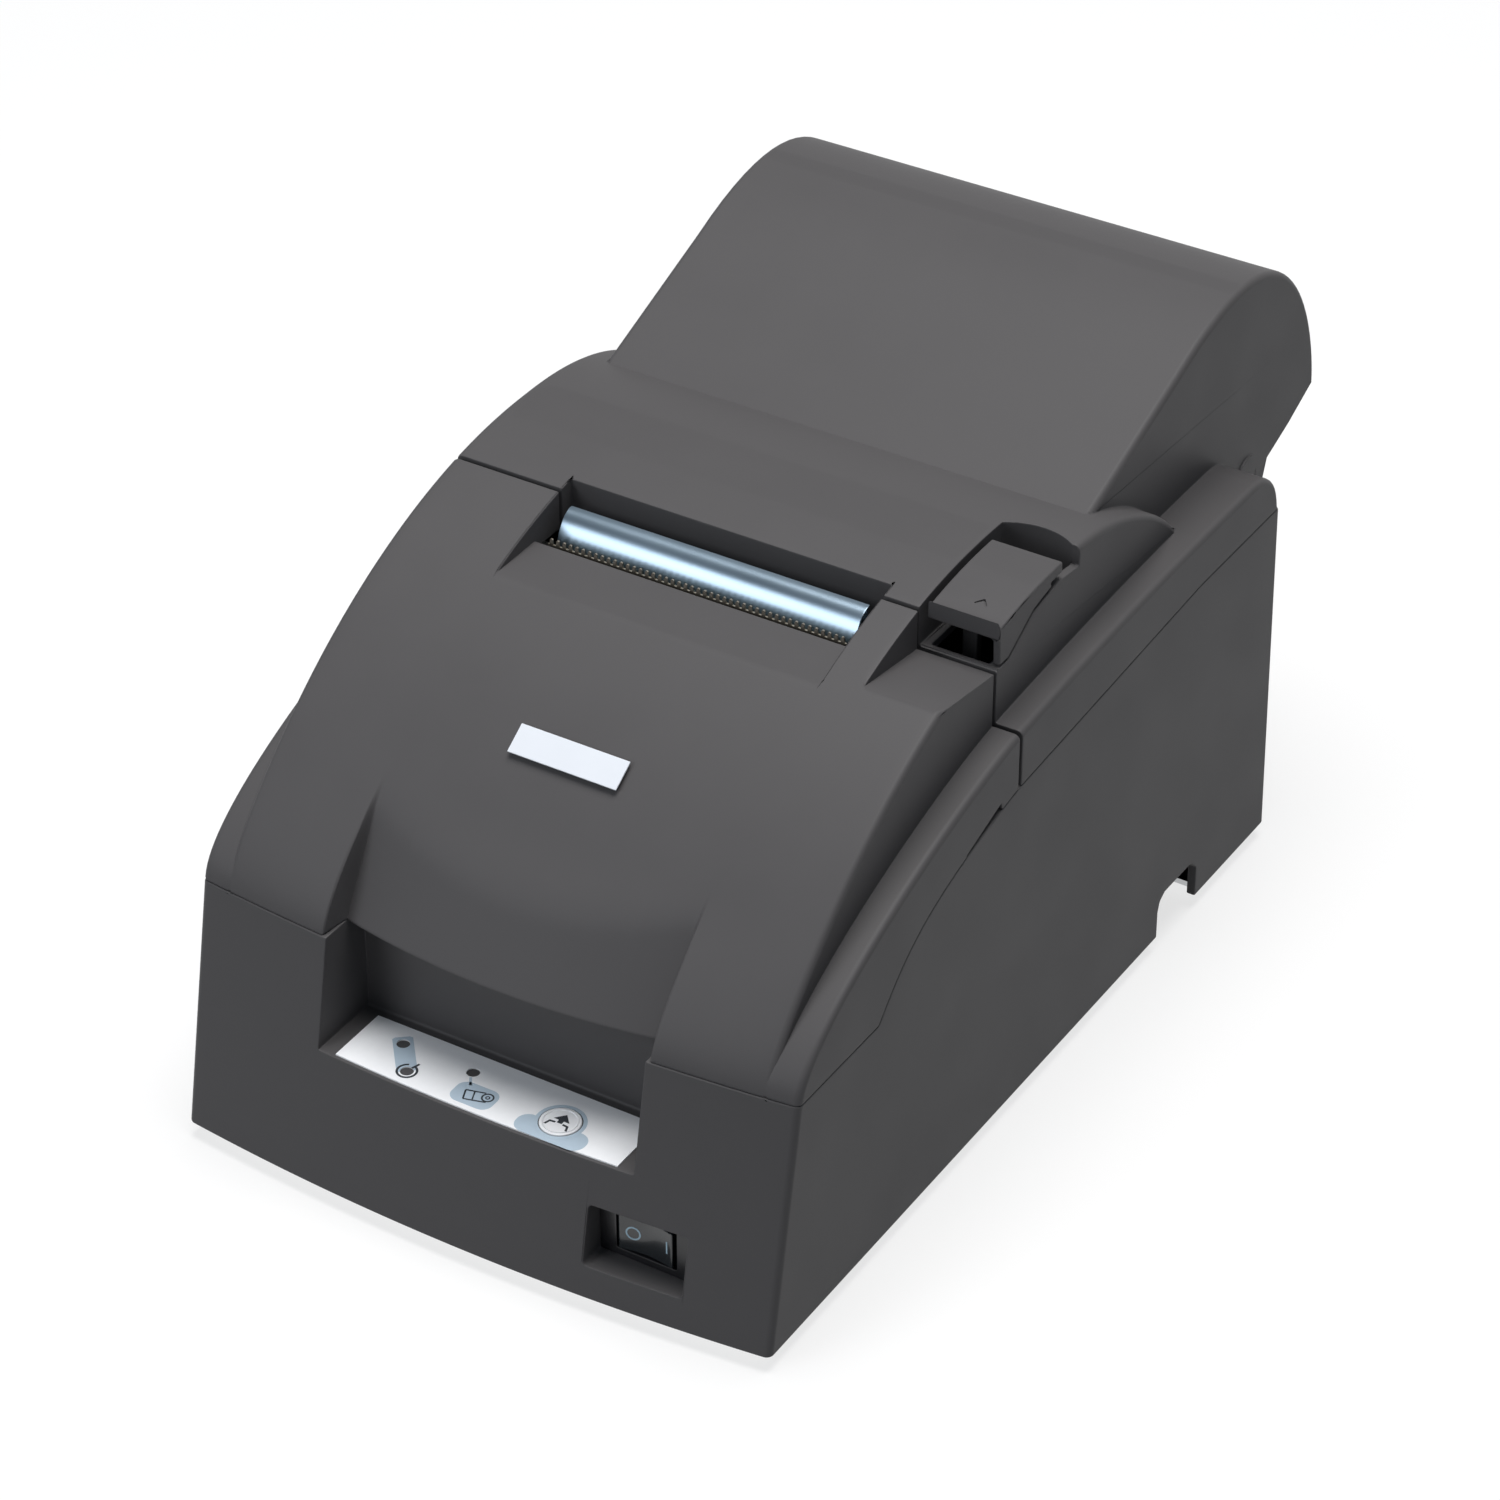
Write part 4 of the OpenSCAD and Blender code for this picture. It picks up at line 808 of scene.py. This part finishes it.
dress(halo, print_grey, "case", [])
halo.name = "button_halo"
roll_mark = arc_band((0.3, 8.4), 1.15, 1.55, 0, 360, 15)
print_marks("printed_symbols", [
    arc_band(led_power, 2.05, 2.6, 112, 428), stroke((led_power[0] + 0.4, led_power[1] + 1.4),
                                                      (led_power[0] + 1.1, led_power[1] + 3.5), 0.55),
    roll_mark, arc_band((0.3, 8.4), 0.3, 0.6, 0, 360, 20), stroke((-5.6, 8.3), (-0.9, 9.6), 0.4),
    stroke((-5.6, 8.3), (-4.4, 5.3), 0.4), stroke((-4.4, 5.3), (0.8, 6.8), 0.4),
    stroke((-3.4, 8.7), (-2.4, 6.1), 0.35)], print_dark, label_top + 0.035)

led_smoke = finish_of("led_smoke", (0.23, 0.24, 0.24), rough=0.16, grain=200, bump=0.04, shine=0.6, coat=0.5)
windows = []
for spot in (led_error, led_power, led_paper):
    lens = rod("lens", (*spot, 27.3), (*spot, label_top - 0.5), 1.5, 36)
    combine(lens, [rod("dish", (*spot, label_top - 0.85), (*spot, label_top), 1.1, 36)], "DIFFERENCE")
    windows.append(lens)
clear_selection()
for lens in windows:
    lens.select_set(True)
bpy.context.view_layer.objects.active = windows[0]
bpy.ops.object.join()
windows[0].name = "indicator_windows"
break_edges(windows[0], 0.15)
dress(windows[0], led_smoke, "case", ["status_leds"])

button_white = finish_of("button_white", (0.86, 0.87, 0.89), rough=0.42, grain=700, bump=0.06, tint=0.02)
button_low, button_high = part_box("feed_button")[0][2] / MM - 4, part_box("feed_button")[1][2] / MM - 4
feed_button = rod("feed_button_cap", (*button_spot, button_low), (*button_spot, button_high), 4.9, 64)
combine(feed_button, [rod("crown", (*button_spot, button_high - 0.18), (*button_spot, button_high + 1), 4.1, 64)],
        "DIFFERENCE")
combine(feed_button, [rod("collar", (*button_spot, button_low), (*button_spot, pocket_floor - wall - 0.25),
                          6.1, 64)], "UNION")
break_edges(feed_button, 0.25, segments=3)
dress(feed_button, button_white, "feed_button", ["feed_button"])
arrow = [(0, 2.3), (1.75, 0.35), (0.55, 0.35), (0.55, -0.5), (-0.55, -0.5), (-0.55, 0.35), (-1.75, 0.35)]
feet = [[(-2.6, -1.9), (-2.1, -1.9), (-1.8, -0.9), (-0.8, -0.75), (-0.8, -0.3), (-2.1, -0.45)],
        [(2.6, -1.9), (2.1, -1.9), (1.8, -0.9), (0.8, -0.75), (0.8, -0.3), (2.1, -0.45)]]
turned_arrow = [[(button_spot[0] + 1.2 * x, button_spot[1] + 1.2 * y) for x, y in outline] for outline in [arrow] + feet]
print_marks("feed_arrow", turned_arrow, print_dark, button_high - 0.185, "feed_button")

board_green = finish_of("board_green", (0.018, 0.11, 0.055), rough=0.28, grain=180, bump=0.06, tint=0.25)
repaint(board_green, "panel_board", "main_board")
repaint(foot_rubber, "button_dome")

# ---- power switch ----
# A snap-in rocker switch at the right of the front: a black flanged body, and a glossy rocker that
# carries a pale ring for off and a pale bar for on.

switch_black = finish_of("switch_black", (0.012, 0.012, 0.014), rough=0.32, grain=500, bump=0.05, tint=0.15)
rocker_gloss = finish_of("rocker_gloss", (0.016, 0.019, 0.022), rough=0.17, grain=90, bump=0.02, tint=0.1,
                         shine=0.5, coat=0.3)
mark_pale = finish_of("mark_pale", (0.42, 0.58, 0.68), rough=0.5, grain=600, bump=0.03, tint=0.04)
flange = block("switch_flange_and_body", (switch_x - 12.3, switch_x + 12.3), (switch_y - 0.6, switch_y - 0.02),
               (switch_z - 7.5, switch_z + 7.5))
barrel = block("barrel", (switch_x - 8.2, switch_x + 8.2), (switch_y - 0.1, switch_y + 22),
               (switch_z - 6.1, switch_z + 6.1))
combine(flange, [barrel], "UNION")
combine(flange, [block("well", (switch_x - 7.9, switch_x + 7.9), (-5, switch_y + 8.2),
                       (switch_z - 5.35, switch_z + 5.35)),
                 rod("axle_hole", (switch_x, switch_y + 5, switch_z - 5.9), (switch_x, switch_y + 5, switch_z + 5.9),
                     1.05)], "DIFFERENCE")
break_edges(flange, 0.3)
dress(flange, switch_black, "case", ["switch_body"])
rocker_front = switch_y - 1.0
rocker_face = ([(-7.15, 0.1), (-6.9, -0.1)] + [(u, 0.9 - 1.0 * (abs(u) / 6.9) ** 1.6) for u in
                                              (-6.3, -5, -3.4, -1.7, 0, 1.7, 3.4, 5, 6.3)]
               + [(6.9, -0.1), (7.15, 0.1)])
rocker_outline = rocker_face + [(6.4, 5.9), (3, 7.0), (-3, 7.0), (-6.4, 5.9)]


def on_rocker(u, v, w):
    return (switch_x + u, rocker_front + v, switch_z + w)


rocker = flat_piece("power_rocker_moulding", rocker_outline, -5.0, 5.0, on_rocker)
combine(rocker, [rod("axle", (switch_x, switch_y + 5, switch_z - 5.7), (switch_x, switch_y + 5, switch_z + 5.7), 1)],
        "UNION")
break_edges(rocker, 0.25, segments=3)
dress(rocker, rocker_gloss, "power_rocker", ["power_rocker"])


def on_face(u, v, w):
    """Printed on the rocker's curved face: across, up, and proud of it by w."""
    face = 0.9 - 1.0 * (abs(u) / 6.9) ** 1.6
    return (switch_x + u, rocker_front + face - w, switch_z + v)


off_ring = flat_piece("switch_marks", arc_band((-3.5, 0.3), 1.45, 1.85, 0, 360, 12), -0.05, 0.06, on_face)
on_bar = flat_piece("on_bar", [(5.35, -1.3), (5.75, -1.3), (5.75, 2.1), (5.35, 2.1)], -0.05, 0.06, on_face)
combine(off_ring, [on_bar], "UNION")
dress(off_ring, mark_pale, "power_rocker", [])

# ---- tear bar and paper guide ----
# The tear bar is a comb of spring steel across the front of the paper exit. Behind it a plated
# sheet, rolled forward at its foot, leads the paper up and out.

tear_steel = finish_of("tear_steel", (0.42, 0.385, 0.32), metal=1, rough=0.38, grain=500, stretch=(1, 1, 6))
guide_plating = finish_of("guide_plating", (0.30, 0.385, 0.46), metal=1, rough=0.3, grain=120,
                          stretch=(0.15, 1, 1), bump=0.05, tint=0.05)
bar_low, bar_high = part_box("tear_bar")[0][2] / MM - 4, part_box("tear_bar")[1][2] / MM - 4
comb = [(-40.1, bar_low + 0.4), (-40.1, bar_high - 1.5)]
for i in range(46):
    left = -39.6 + i * 1.74
    comb += [(left, bar_high - 1.5), (left + 0.12, bar_high - 0.2), (left + 0.35, bar_high),
             (left + 0.62, bar_high), (left + 0.85, bar_high - 0.2), (left + 0.97, bar_high - 1.5)]
comb += [(40.1, bar_high - 1.5), (40.1, bar_low + 0.4)]
tear_bar = flat_piece("tear_bar_comb", comb, 97.55, 98.0, lambda u, v, w: (u, w, v))
combine(tear_bar, [block("foot", (-58, 58), (95.7, 98.5), (bar_low, bar_low + 1.1))], "UNION")
dress(tear_bar, tear_steel, "case", ["tear_bar"])
clear_selection()
tear_bar.select_set(True)
bpy.context.view_layer.objects.active = tear_bar
bpy.ops.object.shade_smooth_by_angle(angle=math.radians(30))

guide_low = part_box("paper_guide")[0][2] / MM - 4
guide_line = (bezier((100.6, 115.6), (101.2, 119.6), (102.4, 122.4), (104.2, 124.2), 12)
              + bezier((104.2, 124.2), (105.3, 125.2), (106.2, 125.7), (107.9, 125.8), 8)[1:])
guide_back = inward(guide_line, 0.6)[::-1]
guide_stem = [(107.3, 125.0), (107.3, guide_low), (106.7, guide_low), (106.7, 124.6)]
paper_guide = side_profile("paper_guide_sheet", guide_line + [(107.9, 125.2)] + guide_stem
                           + [point for point in guide_back if point[0] < 106.3], [-40.2, 40.2])
break_edges(paper_guide, 0.12, angle=50)
dress(paper_guide, guide_plating, "case", ["paper_guide"])

# ---- hinge pins, lever spring and latch ----
# Turned steel pins hold both covers and the lever, a wire spring closes the lever, and the latch
# pin stands on the mechanism's right frame for the lever's hook to catch.

bright_steel = finish_of("bright_steel", (0.62, 0.63, 0.65), metal=1, rough=0.22, grain=500, stretch=(6, 1, 1))
repaint(bright_steel, "front_hinge_pins", "rear_hinge_pins", "lever_pin", "latch_pin", "idle_pulley_pin",
        "carriage_shaft", "idler_stud", "platen_bar")
clear_selection()
bpy.ops.mesh.primitive_circle_add(vertices=8, fill_type="NOTHING", location=place(58.9, 136, 124.3))
lever_spring = bpy.context.object
lever_spring.name = "lever_spring_wire"
for i, corner in enumerate(lever_spring.data.vertices):
    turn = i * math.pi / 4
    corner.co = (0.3 * MM * math.cos(turn), (2.05 + 0.3 * math.sin(turn)) * MM, 0)
settle(lever_spring, "SCREW", axis="X", screw_offset=0.8 * MM, iterations=7, steps=20, render_steps=20)
bpy.ops.object.transform_apply(location=True, rotation=True, scale=True)
bpy.ops.object.mode_set(mode="EDIT")
bpy.ops.mesh.select_all(action="SELECT")
bpy.ops.mesh.remove_doubles(threshold=0.000005)
bpy.ops.mesh.select_all(action="DESELECT")
bpy.ops.mesh.select_non_manifold()
bpy.ops.mesh.edge_face_add()
bpy.ops.mesh.select_all(action="SELECT")
bpy.ops.mesh.normals_make_consistent(inside=False)
bpy.ops.object.mode_set(mode="OBJECT")
bpy.ops.object.shade_smooth()
dress(lever_spring, bright_steel, "roll_cover", ["lever_spring"])

# ---- print mechanism ----
# Two zinc-plated side frames and a bed carry a ground shaft and a folded rail. The carriage slides
# on them, drawn by a toothed belt from a small motor, and holds the black finned print head.

black_plastic = finish_of("black_plastic", (0.024, 0.024, 0.026), rough=0.5, grain=1800, bump=0.14, tint=0.12,
                          shine=0.4)
head_black = finish_of("head_aluminium", (0.10, 0.105, 0.11), metal=0.7, rough=0.42, grain=900, bump=0.12)
motor_steel = finish_of("motor_steel", (0.46, 0.47, 0.48), metal=1, rough=0.3, grain=300, stretch=(1, 1, 5))
gear_brass = finish_of("gear_brass", (0.62, 0.45, 0.19), metal=1, rough=0.27, grain=500, tint=0.1)
belt_rubber = finish_of("belt_rubber", (0.02, 0.02, 0.021), rough=0.7, grain=700, stretch=(4, 1, 1), bump=0.3)
repaint(belt_rubber, "toothed_belt")
repaint(gear_brass, "motor_pinion", "takeup_pinion")
for node in ("left_frame", "right_frame", "mechanism_bed", "bed_posts", "carriage_rail"):
    finished(node, node + "_plate", "case", zinc_steel, 0.2)
finished("carriage_motor", "carriage_motor_can", "case", motor_steel, 0.9, segments=3)
finished("drive_pulley", "drive_pulley_wheel", "drive_pulley", gear_brass, 0.12)
finished("idle_pulley", "idle_pulley_wheel", "idle_pulley", gear_brass, 0.12)
finished("print_carriage", "carriage_moulding", "carriage", black_plastic, 0.5, segments=3)
finished("print_head", "print_head_casting", "carriage", head_black, 0.25, angle=50)

# ---- ribbon cassette ----
# A black two-arm cassette with its lid seam and moulded ribs, a winding knob with finger flutes on
# top, and the inked fabric ribbon stretched between the ends of its arms.

ribbon_fabric = finish_of("ribbon_fabric", (0.022, 0.018, 0.034), rough=0.75, grain=1500, stretch=(1, 1, 5),
                          bump=0.5, tint=0.3, shine=0.2)
repaint(ribbon_fabric, "ink_ribbon")
cassette_low, cassette_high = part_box("ribbon_cassette")
cassette_half, cassette_top = cassette_high[0] / MM, cassette_high[2] / MM - 4
cassette = finished("ribbon_cassette", "ribbon_cassette_moulding", "case", black_plastic, 0.7, segments=3)
grooves = [block("lid_panel", (-cassette_half + 14, cassette_half - 14 - 14), (49, 59),
                 (cassette_top - 0.6, cassette_top + 1))]
grooves += [block("grip_groove", (x, x + 1.2), (48, 60), (cassette_top - 0.5, cassette_top + 1))
            for x in (cassette_half - 12, cassette_half - 9.4, cassette_half - 6.8)]
combine(cassette, grooves, "DIFFERENCE")
knob_low, knob_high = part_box("ribbon_knob")
knob_middle = ((knob_low[0] + knob_high[0]) / 2 / MM, (knob_low[1] + knob_high[1]) / 2 / MM + 138)
fluted = []
for i in range(72):
    turn = math.radians(5 * i)
    reach = 6 - (0.7 if i % 6 in (2, 3) else 0)
    fluted.append((knob_middle[0] + reach * math.cos(turn), knob_middle[1] + reach * math.sin(turn)))
knob_top = knob_high[2] / MM - 4
ribbon_knob = flat_piece("ribbon_knob_moulding", fluted, knob_top - 4, knob_top)
combine(ribbon_knob, [rod("knob_dish", (*knob_middle, knob_top - 1), (*knob_middle, knob_top + 1), 4.2)],
        "DIFFERENCE")
combine(ribbon_knob, [rod("knob_stem", (*knob_middle, knob_low[2] / MM - 4), (*knob_middle, knob_top - 3), 2),
                      block("knob_grip", (knob_middle[0] - 3.6, knob_middle[0] + 3.6),
                            (knob_middle[1] - 0.7, knob_middle[1] + 0.7), (knob_top - 1.5, knob_top))], "UNION")
break_edges(ribbon_knob, 0.25)
dress(ribbon_knob, black_plastic, "ribbon_knob", ["ribbon_knob"])

# ---- paper feed ----
# A rubber-covered feed roller and its sprung pinch roller, driven by a small can motor through
# moulded acetal gears on steel studs.

roller_rubber = finish_of("roller_rubber", (0.035, 0.035, 0.037), rough=0.75, grain=1200, stretch=(1, 1, 1),
                          bump=0.35, shine=0.25)
gear_plastic = finish_of("gear_plastic", (0.70, 0.67, 0.60), rough=0.4, grain=500, bump=0.05, tint=0.04)
finished("feed_roller", "feed_roller_turned", "feed_roller", roller_rubber, 0.3)
finished("pinch_roller", "pinch_roller_turned", "pinch_roller", roller_rubber, 0.3)
repaint(gear_plastic, "feed_gear", "idler_gear", "takeup_gear")
finished("feed_motor", "feed_motor_can", "case", motor_steel, 0.9, segments=3)

# ---- cutter ----
# A frame of folded sheet over the feed rollers, with the slit that the paper rises through and the
# flat ground blade that slides across it.

finished("cutter_frame", "cutter_frame_folded", "case", zinc_steel, 0.35)
blade_steel = finish_of("blade_steel", (0.66, 0.67, 0.69), metal=1, rough=0.16, grain=900, stretch=(1, 8, 1))
finished("cutter_blade", "cutter_blade_ground", "cutter_blade", blade_steel, 0.18)

# ---- paper roll bucket ----
# A smooth moulded cradle that the paper roll drops into, on four posts from the base plate.

finished("roll_bucket", "roll_bucket_moulding", "case", black_plastic, 0.6, segments=3)

# ---- take-up spool and its drive ----
# The journal copy winds up under the hump, on a flanged spool between two pressed brackets, turned
# by a large acetal gear and a small can motor.

finished("takeup_brackets", "takeup_bracket_pair", "case", zinc_steel, 0.2)
finished("takeup_spool", "takeup_spool_moulding", "takeup_spool", black_plastic, 0.4)
finished("takeup_motor", "takeup_motor_can", "case", motor_steel, 0.8, segments=3)

# ---- circuit board and rear sockets ----
# The main board carries cans and chips. Its sockets reach the back wall through a plated steel
# plate: a wide interface socket with a tongue, a drawer jack and the power inlet.

component_black = finish_of("component_black", (0.02, 0.02, 0.022), rough=0.4, grain=700, bump=0.1)
finished("board_components", "board_component_set", "case", component_black, 0.4)
finished("connector_plate", "connector_plate_pressed", "case", zinc_steel, 0.2)
socket_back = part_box("rear_connectors")[1][1] / MM + 138
sockets = []
for x0, x1, z0, z1, reach, rim, tongue in ((-49.8, 1.8, 14.2, 25.8, 0, 1.4, 2.2),
                                           (-49.8, -36.2, 29.2, 33.8, 0.5, 0.8, 0.9),
                                           (-11.8, 1.8, 28.2, 34.8, 0.5, 1.1, 0)):
    shell = block("socket", (x0, x1), (socket_back - 10.5, socket_back - reach), (z0, z1))
    combine(shell, [block("mouth", (x0 + rim, x1 - rim), (socket_back - 6.5, socket_back + 2),
                          (z0 + rim, z1 - rim))], "DIFFERENCE")
    if tongue:
        middle = (z0 + z1) / 2
        combine(shell, [block("tongue", (x0 + rim + 2, x1 - rim - 2), (socket_back - 7, socket_back - reach - 1),
                              (middle - tongue / 2, middle + tongue / 2))], "UNION")
    else:
        combine(shell, [rod("contact", (x, socket_back - 7, z0 + 3.3), (x, socket_back - 1.5, z0 + 3.3), 0.7, 20)
                        for x in (x0 + 3.8, x0 + 6.8, x0 + 9.8)], "UNION")
    sockets.append(shell)
clear_selection()
for shell in sockets:
    shell.select_set(True)
bpy.context.view_layer.objects.active = sockets[0]
bpy.ops.object.join()
sockets[0].name = "rear_socket_set"
break_edges(sockets[0], 0.2)
dress(sockets[0], component_black, "case", ["rear_connectors"])
